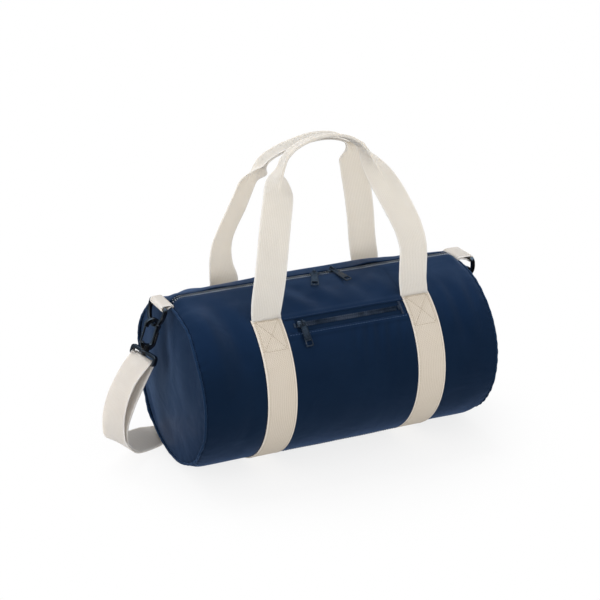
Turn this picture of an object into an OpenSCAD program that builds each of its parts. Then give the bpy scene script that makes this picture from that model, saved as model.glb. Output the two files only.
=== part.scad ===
// Small barrel bag: zipped cloth barrel, webbing bands and handles, zipped front pocket,
// and a webbing shoulder strap clipped to a ring at each end.
// X runs along the barrel, the front is -Y, Z is up. The bag stands on z = 0 at x = y = 0.

/* [Barrel] */
// Length of the barrel between its two end seams
barrel_len = 390; // [320:1:480]
// Width of the stuffed barrel from front to back
barrel_w = 222; // [192:1:280]
// Height of the round of the barrel
barrel_h = 212; // [192:1:270]
// Depth of the round that is pressed flat where the bag stands
foot_press = 1; // [0.5:0.5:8]
// How far the lips of the main zip stand up from the round
zip_ridge = 3.5; // [0:0.5:6]
// Thickness of the body cloth
cloth_t = 1.6; // [1:0.1:2.4]
// How far each end panel bulges out
end_dome = 8; // [3:0.5:16]
// Length over which the barrel turns in towards an end seam
edge_roll = 14; // [9:1:24]
// How far the top of an end seam lies below the top of the barrel
edge_drop = 5.5; // [2:0.5:14]
// How far the foot of an end seam lies above the ground
foot_lift = 5; // [1:0.5:8]
// Radius of the piping along the end seams
piping_r = 1.6; // [1:0.1:2.4]
// Width of the tape that binds the seams inside
binding_w = 7; // [5:0.5:9]

/* [Webbing] */
// Width of all the webbing
web_w = 38; // [30:1:45]
// Thickness of the webbing
web_t = 1.8; // [1.2:0.1:2.4]
// Distance from the middle of the barrel to the middle of each band
band_x = 100; // [80:1:130]
// How far both bands are set to the right of true
band_shift = 3; // [0:0.5:8]
// Angle from the top of the barrel at which the handles are sewn down
handle_angle = 33.8; // [30:0.2:45]
// Height of the handles above the seams that hold them
handle_rise = 208; // [150:1:260]
// How far each handle leans inwards over its height
handle_lean = 44; // [20:1:50]
// Thickness of the folded grip
grip_t = 5; // [4:0.5:7]
// How far the folded grip lies inside the plane of its handle
grip_inset = 6; // [3:0.5:9]

/* [Zips] */
// Half the width of the slot along the top of the barrel
slot_half = 4.6; // [4.4:0.1:6]
// Length of the toothed part of the main zip
main_zip_len = 356; // [280:1:356]
// Spacing of the teeth of one row
tooth_pitch = 2.5; // [2:0.1:4]
// Width of one tooth along the zip
tooth_w = 1; // [0.8:0.05:1.1]
// Thickness of the teeth
tooth_t = 1.75; // [1.2:0.05:2]
// Width of a zip tape
tape_w = 14; // [10:0.5:18]
// Thickness of a zip tape
tape_t = 0.6; // [0.4:0.1:1]
// Length of a puller from its eye to its tip
puller_len = 33; // [24:1:40]
// Width of a puller at its tip
puller_w = 10; // [8:0.5:12]
// Place of the left main slider along the barrel
left_slider_x = -4; // [-20:1:0]
// Place of the right main slider along the barrel
right_slider_x = 20; // [18:1:40]

/* [Pocket] */
// Angle from the top at which the pocket's upper edge lies
pocket_top_angle = 37.8; // [36:0.2:44]
// Width of the gap that shows the pocket zip
pocket_gap = 18; // [14:0.5:24]
// Length of the toothed part of the pocket zip
pocket_zip_len = 138; // [100:1:140]
// Angle from the top at which the pocket cloth ends under the bag
pocket_end_angle = 148; // [120:1:152]

/* [Clips] */
// Distance from an end seam to the bar of its ring
left_tab_out = 11; // [9:0.5:16]
// The same distance at the right end, where the tab is longer
right_tab_out = 19; // [12:0.5:24]
// How far the tabs sit behind the top line of the barrel
tab_back = 8; // [0:0.5:14]
// Radius of the wire of a ring
wire_r = 2.4; // [1.8:0.1:2.6]
// Distance from a ring's straight bar to the foot of its bow
ring_depth = 26; // [25:0.5:32]
// Inside length of a snap hook
hook_len = 23; // [20:0.5:28]
// Inside radius of a snap hook
hook_in_r = 4.8; // [4.4:0.1:6]
// Thickness of the body of a snap hook
hook_t = 6.5; // [5:0.5:8]
// Radius of the stud on which a hook swivels
stud_r = 2.6; // [2:0.1:3]
// Radius of the bar that a strap end is wrapped round
loop_bar_r = 2.2; // [1.6:0.1:2.6]
// Outward slant of the left clip, in degrees
left_slant = 19; // [10:1:25]
// Outward slant of the right clip, in degrees
right_slant = 8; // [4:1:15]
// Turn of the left strap loop about the line of its clip, in degrees
left_loop_turn = 18; // [0:1:25]
// Turn of the left snap hook about the line of its clip, in degrees
left_hook_turn = -5; // [-8:1:8]

/* [Shoulder strap] */
// Place of the strap adjuster along the back of the bag
adjuster_x = 30; // [0:1:60]
// How far the adjuster slides each way
adjuster_travel = 40; // [10:1:45]
// Length of the adjuster
adjuster_len = 26; // [22:1:32]
// Place along the back where the fixed part of the strap's second ply ends
return_x = -34; // [-60:1:-20]

/* [Hidden] */

navy = "#1b2a45";
deep_navy = "#131f36";
cream = "#e6ddcc";
plastic = "#17181a";
gunmetal = "#3b3f45";

// Clearances, in millimetres
ply_gap = 0.1;
run_gap = 0.3;
hang_gap = 0.7;
cut_over = 1;

// Shape of the round
step = 6;
half_w = barrel_w / 2;
half_h = barrel_h / 2;
axis_z = half_h - foot_press;
ridge_angle = 16;
roll_shares = [0, 0.35, 0.62, 0.84, 1];
band_ramp = 3;
end_shares = [0.3, 0.6, 0.82, 0.94, 1];
piping_sides = 8;
binding_t = 1;
binding_set_angle = 1;
binding_in = 2.6;
slot_angle = asin(slot_half / half_w);

left_band_x = band_shift / 2 - band_x;
right_band_x = band_shift + band_x;

// Steps up to one at an end seam
function roll(x) = pow(max(0, abs(x) - barrel_len / 2 + edge_roll) / edge_roll, 2);
function near_band(x, middle) =
    max(0, min(1, 1 - (abs(x - middle) - web_w / 2 - run_gap) / band_ramp));
function band_share(x) = max(near_band(x, left_band_x), near_band(x, right_band_x));
function foot_z(x) = foot_lift * roll(x) + web_t * band_share(x);

function ridge(angle) =
    zip_ridge * (1 + cos(180 * min(1, min(angle, 360 - angle) / ridge_angle))) / 2;

// A point of the bag's skin: x along the barrel, angle from the top towards the front,
// and height above the outside of the cloth
function skin(x, angle, up) = [
    x,
    -(half_w + up) * sin(angle),
    max(axis_z + (half_h + up + ridge(angle) * (1 - roll(x)) - edge_drop * roll(x)) * cos(angle),
        foot_z(x) - up)
];
// How far the skin leans from level at an angle from the top
function skin_lean(angle) = atan2(half_h * sin(angle), half_w * cos(angle));
function arc_angle(length) = length / half_h * 180 / PI;

// Angles from one to the other, with every whole step between
function arc_angles(from, to) = concat(
    [from], [for (i = [floor(from / step) + 1 : 1 : ceil(to / step) - 1]) i * step], [to]
);
function reversed(list) = [for (i = [len(list) - 1 : -1 : 0]) list[i]];
roll_xs = [for (share = roll_shares) barrel_len / 2 - edge_roll * (1 - share)];
function band_edges(middle) = [
    middle - web_w / 2 - run_gap - band_ramp, middle - web_w / 2 - run_gap,
    middle + web_w / 2 + run_gap, middle + web_w / 2 + run_gap + band_ramp
];
barrel_xs = concat(
    [for (x = reversed(roll_xs)) -x], band_edges(left_band_x), band_edges(right_band_x), roll_xs
);

function quads(rows, cols, first, flip) = [
    for (i = [0 : rows - 2], j = [0 : cols - 2])
        let (a = first + i * cols + j, b = a + 1, c = a + cols + 1, d = a + cols)
            flip ? [a, b, c, d] : [d, c, b, a]
];

// A sheet that follows the skin, between two heights above it
module skin_sheet(xs, angles, low, high) {
    rows = len(xs);
    cols = len(angles);
    n = rows * cols;
    points = concat(
        [for (x = xs, a = angles) skin(x, a, high)],
        [for (x = xs, a = angles) skin(x, a, low)]
    );
    last = (rows - 1) * cols;
    faces = concat(
        quads(rows, cols, 0, true),
        quads(rows, cols, n, false),
        [for (j = [0 : cols - 2]) [j + 1, j, n + j, n + j + 1]],
        [for (j = [0 : cols - 2]) [last + j, last + j + 1, n + last + j + 1, n + last + j]],
        [for (i = [0 : rows - 2]) let (a = i * cols, b = a + cols) [a, b, n + b, n + a]],
        [for (i = [0 : rows - 2]) let (a = i * cols + cols - 1, b = a + cols) [b, a, n + a, n + b]]
    );
    polyhedron(points, faces);
}

function unit(v) = v / norm(v);
function flat(lists) = [for (list = lists) each list];

// A strip of webbing through stations [middle, width direction], lifted off its own surface
module ribbon(stations, width, thick, lift = 0) {
    n = len(stations);
    heading = [for (i = [0 : n - 1])
        unit(stations[min(i + 1, n - 1)][0] - stations[max(i - 1, 0)][0])];
    across = [for (i = [0 : n - 1])
        let (w = stations[i][1]) unit(w - (w * heading[i]) * heading[i])];
    face = [for (i = [0 : n - 1]) cross(across[i], heading[i])];
    points = flat([for (i = [0 : n - 1])
        let (
            m = stations[i][0] + lift * face[i],
            w = across[i] * (is_list(width) ? width[i] : width) / 2,
            h = face[i] * (is_list(thick) ? thick[i] : thick) / 2
        ) [m - w - h, m + w - h, m + w + h, m - w + h]]);
    faces = concat(
        [[0, 1, 2, 3]],
        [for (i = [0 : n - 2], k = [0 : 3])
            let (a = 4 * i + k, b = 4 * i + (k + 1) % 4)
                k == 2 ? [a, a + 4, b] : [a, a + 4, b + 4]],
        [for (i = [0 : n - 2], k = [0 : 3])
            let (a = 4 * i + k, b = 4 * i + (k + 1) % 4)
                k == 2 ? [a + 4, b + 4, b] : [a, b + 4, b]],
        [[4 * n - 1, 4 * n - 2, 4 * n - 3, 4 * n - 4]]
    );
    polyhedron(points, faces);
}

// A smooth curve through a list of points, at place u counted in points
function along(points, u) =
    let (
        n = len(points), i = min(n - 2, max(0, floor(u))), t = u - i,
        b = points[i], c = points[i + 1],
        a = i == 0 ? 2 * b - c : points[i - 1],
        d = i + 2 > n - 1 ? 2 * c - b : points[i + 2]
    ) 0.5 * (2 * b + (c - a) * t + (2 * a - 5 * b + 4 * c - d) * t * t
        + (3 * b - a - 3 * c + d) * t * t * t);

// Barrel

module barrel_panel() {
    color(navy) skin_sheet(barrel_xs, arc_angles(slot_angle, 360 - slot_angle), -cloth_t, 0);
}

patch_t = 0.8;
patch_xs = [left_band_x + web_w / 2 + run_gap, right_band_x - web_w / 2 - run_gap];
yoke_set_angle = 1.2;
pocket_low_angle = pocket_top_angle + arc_angle(pocket_gap);

module front_yoke() {
    color(navy) skin_sheet(patch_xs, arc_angles(slot_angle + yoke_set_angle, pocket_top_angle),
        web_t - patch_t, web_t);
}

module pocket_panel() {
    color(navy) skin_sheet(patch_xs, arc_angles(pocket_low_angle, pocket_end_angle),
        web_t - patch_t, web_t);
}

// The right end panel: a shallow dome inside the barrel's edge
module end_panel() {
    rings = len(end_shares);
    turns = 360 / step;
    rim = [for (k = [0 : turns - 1]) skin(barrel_len / 2, k * step, -cloth_t - ply_gap)];
    middle = [barrel_len / 2, 0, axis_z];
    function ring_point(share, k, inward) =
        [barrel_len / 2 + end_dome * (1 - share * share) - inward,
         share * rim[k][1], axis_z + share * (rim[k][2] - axis_z)];
    n = rings * turns + 1;
    points = concat(
        [middle + [end_dome, 0, 0]],
        [for (share = end_shares, k = [0 : turns - 1]) ring_point(share, k, 0)],
        [middle + [end_dome - cloth_t, 0, 0]],
        [for (share = end_shares, k = [0 : turns - 1]) ring_point(share, k, cloth_t)]
    );
    last = (rings - 1) * turns + 1;
    faces = concat(
        [for (k = [0 : turns - 1]) [0, 1 + (k + 1) % turns, 1 + k]],
        [for (k = [0 : turns - 1]) [n, n + 1 + k, n + 1 + (k + 1) % turns]],
        [for (r = [0 : rings - 2], k = [0 : turns - 1])
            let (a = 1 + r * turns + k, b = 1 + r * turns + (k + 1) % turns)
                [a, b, b + turns, a + turns]],
        [for (r = [0 : rings - 2], k = [0 : turns - 1])
            let (a = n + 1 + r * turns + k, b = n + 1 + r * turns + (k + 1) % turns)
                [b, a, a + turns, b + turns]],
        [for (k = [0 : turns - 1])
            let (a = last + k, b = last + (k + 1) % turns) [a, b, n + b, n + a]]
    );
    color(navy) polyhedron(points, faces);
}

// Piping round the right end seam
module end_piping() {
    turns = 360 / step;
    points = flat([for (k = [0 : turns - 1])
        let (c = skin(barrel_len / 2, k * step, -piping_r / 2) + [piping_r, 0, 0])
            [for (s = [0 : piping_sides - 1]) let (v = s * 360 / piping_sides)
                c + piping_r * [cos(v), -sin(v) * sin(k * step), sin(v) * cos(k * step)]]]);
    faces = [for (k = [0 : turns - 1], s = [0 : piping_sides - 1])
        let (
            a = k * piping_sides, b = (k + 1) % turns * piping_sides,
            t = (s + 1) % piping_sides
        ) [a + s, a + t, b + t, b + s]];
    color(navy) polyhedron(points, faces);
}

// Tape that binds the right end seam inside
module seam_binding() {
    high = -cloth_t - ply_gap;
    open = slot_angle + arc_angle(tape_w) + binding_set_angle;
    xs = [barrel_len / 2 - binding_in - binding_w, barrel_len / 2 - binding_in];
    color(deep_navy) skin_sheet(xs, arc_angles(open, 360 - open), high - binding_t, high);
}

// Zips

tape_low = -cloth_t - run_gap - tape_t;
tape_inner_angle = 0.6;

module main_tape() {
    color(deep_navy) skin_sheet(
        concat([for (x = reversed(roll_xs)) piping_r - x], [for (x = roll_xs) x - piping_r]),
        [tape_inner_angle, slot_angle, step, tape_inner_angle + arc_angle(tape_w)],
        tape_low, tape_low + tape_t
    );
}

// Teeth of one row, sized by the slider that runs on them
teeth_out = 2.9;
teeth_root = 1.4;
teeth_tip = 0.9;

// One row of teeth along X, on the -Y side, standing on z = 0
module tooth_row(length, shift) {
    count = floor((length - 2 * tooth_pitch) / tooth_pitch);
    start = -length / 2;
    outline = concat(
        [[start, -teeth_out], [-start, -teeth_out], [-start, -teeth_root]],
        flat([for (i = [count - 1 : -1 : 0])
            let (x = start + (i + 1) * tooth_pitch + shift)
                [[x + tooth_w, -teeth_root], [x + tooth_w, teeth_tip],
                 [x, teeth_tip], [x, -teeth_root]]]),
        [[start, -teeth_root]]
    );
    linear_extrude(tooth_t) polygon(outline);
}

// Local frame of the main zip: origin on its tapes at the top of the barrel
module on_main_zip() {
    translate([0, 0, axis_z + half_h + zip_ridge + tape_low + tape_t + ply_gap]) children();
}

// Local frame of the pocket zip: origin on its tapes, z out of the cloth
pocket_zip_angle = (pocket_top_angle + pocket_low_angle) / 2;
pocket_tape_low = 0.2;
pocket_zip_x = (patch_xs[0] + patch_xs[1]) / 2 + band_shift / 2;
module on_pocket_zip() {
    translate(skin(pocket_zip_x, pocket_zip_angle, pocket_tape_low + tape_t + ply_gap))
        rotate([skin_lean(pocket_zip_angle), 0, 0]) children();
}

module pocket_tape(from, to) {
    color(deep_navy) skin_sheet(
        [pocket_zip_x - pocket_zip_len / 2 - stop_w, pocket_zip_x + pocket_zip_len / 2 + stop_w],
        arc_angles(from, to), pocket_tape_low, pocket_tape_low + tape_t
    );
}

// Stops at the two ends of the pocket zip
stop_w = 2;
stop_t = 1.6;
module pocket_zip_stops() {
    color(deep_navy) on_pocket_zip() for (s = [-1, 1])
        translate([s * (pocket_zip_len / 2 + stop_w / 2) - stop_w / 2, -teeth_out, 0])
            cube([stop_w, 2 * teeth_out, stop_t]);
}

// Slider: a wing over the teeth, two flanges beside them and a bridge for the puller
slider_l = 11.5;
slider_nose_w = 9.4;
slider_tail_w = 7.6;
wing_t = 1.3;
wing_low = tooth_t + run_gap + ply_gap;
flange_t = 1;
flange_low = 0.2;
bridge_l = 7;
bridge_w = 1.8;
bridge_t = 1.3;
bridge_h = 5.1;
eye_z = 2.6;
puller_t = 1.8;
eye_in_w = 4;
eye_w = 6.6;
eye_len = 5.2;
eye_bar = 1.3;
puller_hole_l = 5;
puller_hole_w = 4;
puller_tip_r = 3;

// nose is 1 where the slider's wide end points along +X
module slider(nose, yaw) {
    tail_half = slider_tail_w / 2;
    nose_half = slider_nose_w / 2;
    color(gunmetal) scale([nose, 1, 1]) {
        translate([0, 0, wing_low]) linear_extrude(wing_t) union() {
            polygon([[-slider_l / 2, -tail_half + wing_t], [0, -tail_half], [slider_l / 4, -nose_half],
                     [slider_l / 2, -nose_half / 2], [slider_l / 2, nose_half / 2],
                     [slider_l / 4, nose_half], [0, tail_half], [-slider_l / 2, tail_half - wing_t]]);
        }
        for (s = [-1, 1])
            translate([-slider_l / 4, s * (teeth_out + run_gap + flange_t / 2) - flange_t / 2, flange_low])
                cube([slider_l / 2, flange_t, wing_low - flange_low + wing_t / 2]);
    }
    color(gunmetal) rotate([0, 0, yaw]) translate([0, bridge_w / 2, wing_low + wing_t - ply_gap])
        rotate([90, 0, 0]) linear_extrude(bridge_w) difference() {
            polygon([[-bridge_l / 2, 0], [bridge_l / 2, 0], [bridge_l / 2, bridge_h - bridge_t],
                     [bridge_l / 2 - bridge_t / 2, bridge_h], [-bridge_l / 2 + bridge_t / 2, bridge_h],
                     [-bridge_l / 2, bridge_h - bridge_t]]);
            translate([-bridge_l / 2 + bridge_t, -cut_over])
                square([bridge_l - 2 * bridge_t, bridge_h - bridge_t + cut_over]);
        }
}

// Puller lying along local +X from its eye, turned by yaw and dipped by pitch
module puller(yaw, pitch, length) {
    color(gunmetal) translate([0, 0, wing_low + wing_t + eye_z]) rotate([0, 0, yaw]) rotate([0, pitch, 0])
        translate([0, 0, -puller_t / 2]) linear_extrude(puller_t) difference() {
            union() {
                translate([-eye_bar / 2, -eye_w / 2]) square([eye_len + eye_bar, eye_w]);
                polygon([[eye_len, -eye_w / 2], [length - puller_tip_r, -puller_w / 2],
                         [length - puller_tip_r, puller_w / 2], [eye_len, eye_w / 2]]);
                translate([length - puller_tip_r, -puller_w / 2 + puller_tip_r])
                    square([puller_tip_r, puller_w - 2 * puller_tip_r]);
                for (s = [-1, 1])
                    translate([length - puller_tip_r, s * (puller_w / 2 - puller_tip_r)])
                        circle(puller_tip_r, $fn = 32);
            }
            translate([eye_bar / 2, -eye_in_w / 2]) square([eye_len - eye_bar, eye_in_w]);
            translate([length - puller_hole_l - puller_tip_r / 2, 0]) {
                circle(puller_hole_w / 2, $fn = 24);
                translate([0, -puller_hole_w / 2]) square([puller_hole_l - puller_hole_w / 2, puller_hole_w]);
                translate([puller_hole_l - puller_hole_w / 2, 0]) circle(puller_hole_w / 2, $fn = 24);
            }
        }
}

left_puller_yaw = -114;
right_puller_yaw = -74;
main_puller_pitch = 11;
pocket_puller_yaw = -86;
pocket_puller_pitch = 13;
pocket_puller_share = 0.92;
pocket_slider_x = -pocket_zip_len / 2 + slider_l / 2 + stop_w;

module at_left_slider() { on_main_zip() translate([left_slider_x, 0, 0]) children(); }
module at_right_slider() { on_main_zip() translate([right_slider_x, 0, 0]) children(); }
module at_pocket_slider() { on_pocket_zip() translate([pocket_slider_x, 0, 0]) children(); }

// Bands and handles

module band(middle) {
    color(cream) skin_sheet([middle - web_w / 2, middle + web_w / 2],
        arc_angles(handle_angle, 360 - handle_angle), ply_gap, web_t);
}

// The line that a handle bends about lies on the band's outer face
hinge_share = 1.5;
hinge_y = (half_w + hinge_share * web_t) * sin(handle_angle);
hinge_z = axis_z + (half_h + hinge_share * web_t) * cos(handle_angle);
handle_start = 1.2;
lean_angle = asin(handle_lean / handle_rise);
fold_share = 0.5;

// Handle lines as shares: across of the bands' distance, up of the rise, fold from 0 flat to 1 folded
front_shares = [
    [-0.99, 0, 0], [-0.96, 0.09, 0], [-0.92, 0.165, 0], [-0.883, 0.237, 0], [-0.83, 0.36, 0],
    [-0.778, 0.483, 0], [-0.73, 0.59, 0], [-0.677, 0.695, 0], [-0.615, 0.81, 0.45],
    [-0.54, 0.885, 1], [-0.41, 0.935, 1], [-0.2, 0.972, 1], [0.04, 0.985, 1], [0.26, 0.966, 1],
    [0.42, 0.924, 1], [0.52, 0.867, 0.95], [0.605, 0.795, 0.45], [0.7, 0.71, 0],
    [0.78, 0.625, 0], [0.855, 0.54, 0], [0.93, 0.46, 0], [0.995, 0.375, 0], [1.033, 0.27, 0],
    [1.01, 0.16, 0], [0.99, 0.08, 0], [0.99, 0, 0]
];
back_shares = [
    [-1.005, 0, 0], [-1.05, 0.1, 0.05], [-1.078, 0.2, 0.12], [-1.068, 0.3, 0.2],
    [-1.005, 0.4, 0.14], [-0.92, 0.505, 0.1], [-0.845, 0.61, 0.2], [-0.785, 0.71, 0.45],
    [-0.71, 0.79, 0.68], [-0.585, 0.85, 0.74], [-0.44, 0.885, 0.74], [-0.3, 0.908, 0.78],
    [-0.12, 0.932, 0.88], [0.05, 0.942, 1], [0.2, 0.938, 1], [0.33, 0.915, 1],
    [0.44, 0.87, 0.75], [0.53, 0.8, 0.3], [0.61, 0.735, 0], [0.69, 0.62, 0], [0.755, 0.5, 0],
    [0.805, 0.37, 0], [0.85, 0.24, 0], [0.9, 0.12, 0], [0.955, 0, 0]
];
samples = 2;

// A handle in its own plane, standing on the X axis, its inner face towards +Y
module handle(shares) {
    half = (right_band_x - left_band_x) / 2;
    middle = (right_band_x + left_band_x) / 2;
    n = (len(shares) - 1) * samples;
    rows = [for (i = [0 : n]) along(shares, i / samples)];
    // Each end leaves its seam square, up to the next point of the line
    function seam_row(i) = i < samples ? 0 : i > n - samples ? n : i;
    line = [for (i = [0 : n])
        [middle + half * rows[seam_row(i)][0],
         grip_inset * max(0, min(1, rows[i][2])),
         max(handle_start, handle_rise * rows[i][1])]];
    stations = [for (i = [0 : n])
        let (
            f = max(0, min(1, rows[i][2])),
            h = unit(line[min(i + 1, n)] - line[max(i - 1, 0)]),
            plane = cross([0, 1, 0], h)
        ) [line[i], plane * cos(90 * f) + [0, 1, 0] * sin(90 * f)]];
    widths = [for (r = rows) web_w * (1 - fold_share * max(0, min(1, r[2])))];
    thicks = [for (r = rows) web_t + (grip_t - web_t) * max(0, min(1, r[2]))];
    color(cream) ribbon(stations, widths, thicks);
}

module front_handle() {
    translate([0, -hinge_y, hinge_z]) rotate([-lean_angle, 0, 0]) handle(front_shares);
}
module back_handle() {
    mirror([0, 1, 0]) translate([0, -hinge_y, hinge_z]) rotate([-lean_angle, 0, 0]) handle(back_shares);
}

// Clips: ring tab, ring, snap hook with gate, strap loop. Local frame of a clip: origin in the
// middle of the ring's straight bar, which lies along Y, with the clip hanging along -Z, outside = -X

tab_in_r = wire_r + run_gap;
ring_bar_z = axis_z + half_h - edge_drop;
ring_play = 1.4;
ring_r = web_w / 2 + ring_play + wire_r;
bow_z = ring_r - ring_depth;
hook_play = hook_in_r - wire_r - hang_gap;
hook_z = -ring_depth - hook_play;
hook_wall = 5.4;
hook_out_r = hook_in_r + hook_wall;
hook_base = 7;
hook_base_half = 6.5;
hook_end_z = hook_z - hook_len - hook_base;
gate_t = 2.2;
gate_w = 5;
gate_top = 2.5;
gate_foot = 2;
loop_in_w = web_w + 1;
loop_t = 5;
loop_gap = 1.5;
loop_bar_h = 4;
loop_top_z = hook_end_z - loop_gap;
head_r = 3.9;
head_t = 1.5;
head_gap = 0.4;
loop_bar_z = loop_top_z - loop_bar_h - head_gap - head_t - web_t - loop_bar_r - 2 * run_gap - cut_over;

// The clip's own place and slant: side is -1 at the left end and 1 at the right
function clip_at(side) =
    [side * (barrel_len / 2 + (side < 0 ? left_tab_out : right_tab_out)), tab_back, ring_bar_z];
function clip_slant(side) = side < 0 ? left_slant : right_slant;
function clip_turn(side) = side < 0 ? left_loop_turn : 0;
module at_clip(side) {
    translate(clip_at(side)) mirror([side < 0 ? 0 : 1, 0, 0]) rotate([0, clip_slant(side), 0]) children();
}

// The tab wraps the bar and runs back to the seam, seen along Y
module ring_tab(side, out) {
    reach = out - tab_in_r;
    tab_out_r = tab_in_r + web_t;
    color(cream) translate([side * (barrel_len / 2 + out), tab_back + web_w / 2, ring_bar_z])
        mirror([side < 0 ? 0 : 1, 0, 0]) rotate([90, 0, 0]) linear_extrude(web_w) difference() {
            union() {
                circle(tab_out_r, $fn = 48);
                translate([0, tab_out_r - 2 * web_t - ply_gap])
                    square([reach + tab_in_r + ply_gap, 2 * web_t + ply_gap]);
            }
            circle(tab_in_r, $fn = 48);
        }
}

module d_ring() {
    color(plastic) {
        translate([0, ring_r, 0]) rotate([90, 0, 0]) cylinder(r = wire_r, h = 2 * ring_r, $fn = 32);
        for (s = [-1, 1]) translate([0, s * ring_r, 0]) {
            sphere(wire_r, $fn = 32);
            translate([0, 0, bow_z]) cylinder(r = wire_r, h = -bow_z, $fn = 32);
        }
        translate([0, 0, bow_z]) rotate([0, 90, 0]) rotate([0, 0, -90])
            rotate_extrude(angle = 180, $fn = 64) translate([ring_r, 0]) circle(wire_r, $fn = 24);
    }
}

module hook() {
    gap_top = hook_z - gate_top;
    gap_foot = hook_z - hook_len + gate_foot;
    color(plastic) {
        translate([0, hook_t / 2, 0]) rotate([90, 0, 0]) linear_extrude(hook_t) difference() {
            union() {
                translate([0, hook_z]) circle(hook_out_r, $fn = 64);
                translate([-hook_out_r, hook_z - hook_len]) square([2 * hook_out_r, hook_len]);
                polygon([[-hook_out_r, hook_z - hook_len], [-hook_base_half, hook_end_z],
                         [hook_base_half, hook_end_z], [hook_out_r, hook_z - hook_len]]);
            }
            translate([0, hook_z]) circle(hook_in_r, $fn = 48);
            translate([-hook_in_r, hook_z - hook_len]) square([2 * hook_in_r, hook_len]);
            translate([-hook_out_r - cut_over, gap_foot])
                square([hook_wall + 2 * cut_over, gap_top - gap_foot]);
        }
        translate([0, 0, loop_top_z - loop_bar_h - head_gap])
            cylinder(r = stud_r, h = loop_gap + loop_bar_h + head_gap + cut_over, $fn = 32);
        translate([0, 0, loop_top_z - loop_bar_h - head_gap - head_t])
            cylinder(r = head_r, h = head_t, $fn = 32);
    }
}

// The gate turns about a line at its foot
gate_x = -hook_out_r + gate_t / 2 + run_gap;
gate_z = hook_z - hook_len + gate_foot + run_gap + gate_t / 2;
module gate() {
    length = hook_z - gate_top - run_gap - gate_z;
    color(plastic) translate([gate_x, gate_w / 2, gate_z]) rotate([90, 0, 0]) linear_extrude(gate_w) {
        circle(gate_t / 2, $fn = 24);
        translate([-gate_t / 2, 0]) square([gate_t, length]);
    }
}

module strap_loop() {
    half = loop_in_w / 2 + loop_bar_h;
    color(plastic) difference() {
        union() {
            translate([-loop_t / 2, -half, loop_top_z - loop_bar_h]) cube([loop_t, 2 * half, loop_bar_h]);
            for (s = [-1, 1]) {
                translate([-loop_t / 2, s * (half - loop_bar_h / 2) - loop_bar_h / 2, loop_bar_z])
                    cube([loop_t, loop_bar_h, loop_top_z - loop_bar_z - loop_bar_h / 2]);
                translate([0, s * (half - loop_bar_h / 2) + loop_bar_h / 2, loop_bar_z]) rotate([90, 0, 0])
                    cylinder(r = loop_t / 2, h = loop_bar_h, $fn = 32);
            }
            translate([0, half - ply_gap, loop_bar_z]) rotate([90, 0, 0])
                cylinder(r = loop_bar_r, h = 2 * (half - ply_gap), $fn = 32);
            translate([0, 0, loop_top_z - loop_bar_h])
                cylinder(r = head_r + cut_over, h = loop_bar_h, $fn = 32);
        }
        translate([0, 0, loop_top_z - loop_bar_h - cut_over])
            cylinder(r = stud_r + run_gap, h = loop_bar_h + 2 * cut_over, $fn = 32);
    }
}

// Shoulder strap

// A point or a direction of a clip, in the bag's frame
function slanted(v, side) =
    let (a = clip_slant(side), p = [v[0] * cos(a) + v[2] * sin(a), v[1], v[2] * cos(a) - v[0] * sin(a)])
        [-side * p[0], p[1], p[2]];
function turned(v, side) =
    let (a = clip_turn(side)) [v[0] * cos(a) - v[1] * sin(a), v[0] * sin(a) + v[1] * cos(a), v[2]];
function clip_dir(v, side) = slanted(turned(v, side), side);
function clip_point(v, side) = clip_at(side) + clip_dir(v, side);

wrap_r = loop_bar_r + run_gap + web_t / 2;
bar_height = clip_point([0, 0, loop_bar_z], -1)[2];
ply_lift_share = 0.6;
strap_back_share = 0.68;

// The wrap round a loop's bar, from its inner side over the bar's foot to its outer side
function wrap(side, angles) = [for (a = angles)
    [clip_point([wrap_r * sin(a), 0, loop_bar_z + wrap_r * cos(a)], side), clip_dir([0, 1, 0], side)]];

// Route of the strap: out from the end seam in webbing widths, back in half barrels, up in heights
// of the loop's bar or in webbing thicknesses, then the direction of its width
left_route_shares = [
    [1.37, 0.09, 0.866, 0, [-0.27, 0.96, 0.07]],
    [1.7, 0.09, 0.7, 0, [-0.34, 0.94, 0]],
    [1.88, 0.095, 0.54, 0, [-0.39, 0.92, 0]],
    [1.93, 0.1, 0.4, 0, [-0.43, 0.9, -0.04]],
    [1.86, 0.115, 0.27, 0, [-0.4, 0.91, -0.1]],
    [1.5, 0.171, 0.178, 0, [-0.28, 0.94, 0.2]],
    [1.04, 0.315, 0.119, 0, [-0.35, 0.85, 0.37]],
    [0.39, 0.495, 0.066, 0, [-0.27, 0.9, 0.34]],
    [0.02, 0.588, 0.041, 0, [-0.36, 0.91, 0.2]],
    [-0.65, 0.66, 0.007, ply_lift_share, [-0.1, 1, 0.03]],
    [-1.2, strap_back_share, 0, ply_lift_share, [0, 1, 0]],
    [-1.8, strap_back_share, 0, ply_lift_share, [0, 1, 0]],
    [-2.8, strap_back_share, 0, ply_lift_share, [0, 1, 0]]
];
right_route_shares = [
    [-5.6, strap_back_share, 0, ply_lift_share, [0, 1, 0]],
    [-3.6, strap_back_share, 0, ply_lift_share, [0, 1, 0]],
    [-2.2, strap_back_share, 0, ply_lift_share, [0, 1, 0]],
    [-1.3, strap_back_share, 0, ply_lift_share, [0, 1, 0]],
    [-0.6, 0.665, 0.003, ply_lift_share, [0.06, 1, 0.01]],
    [0.1, 0.61, 0.015, ply_lift_share, [0.25, 0.96, 0.03]],
    [0.66, 0.49, 0.035, ply_lift_share, [0.5, 0.85, 0.1]],
    [1.05, 0.34, 0.09, ply_lift_share, [0.34, 0.94, 0.03]],
    [1.24, 0.215, 0.23, 0, [0.21, 0.98, 0]],
    [1.29, 0.125, 0.41, 0, [0.1, 0.99, 0]],
    [1.22, 0.085, 0.6, 0, [0.05, 1, 0]],
    [1.1, 0.077, 0.75, 0, [0, 1, 0]],
    [0.92, 0.073, 0.865, 0, [0, 1, 0]]
];
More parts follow.
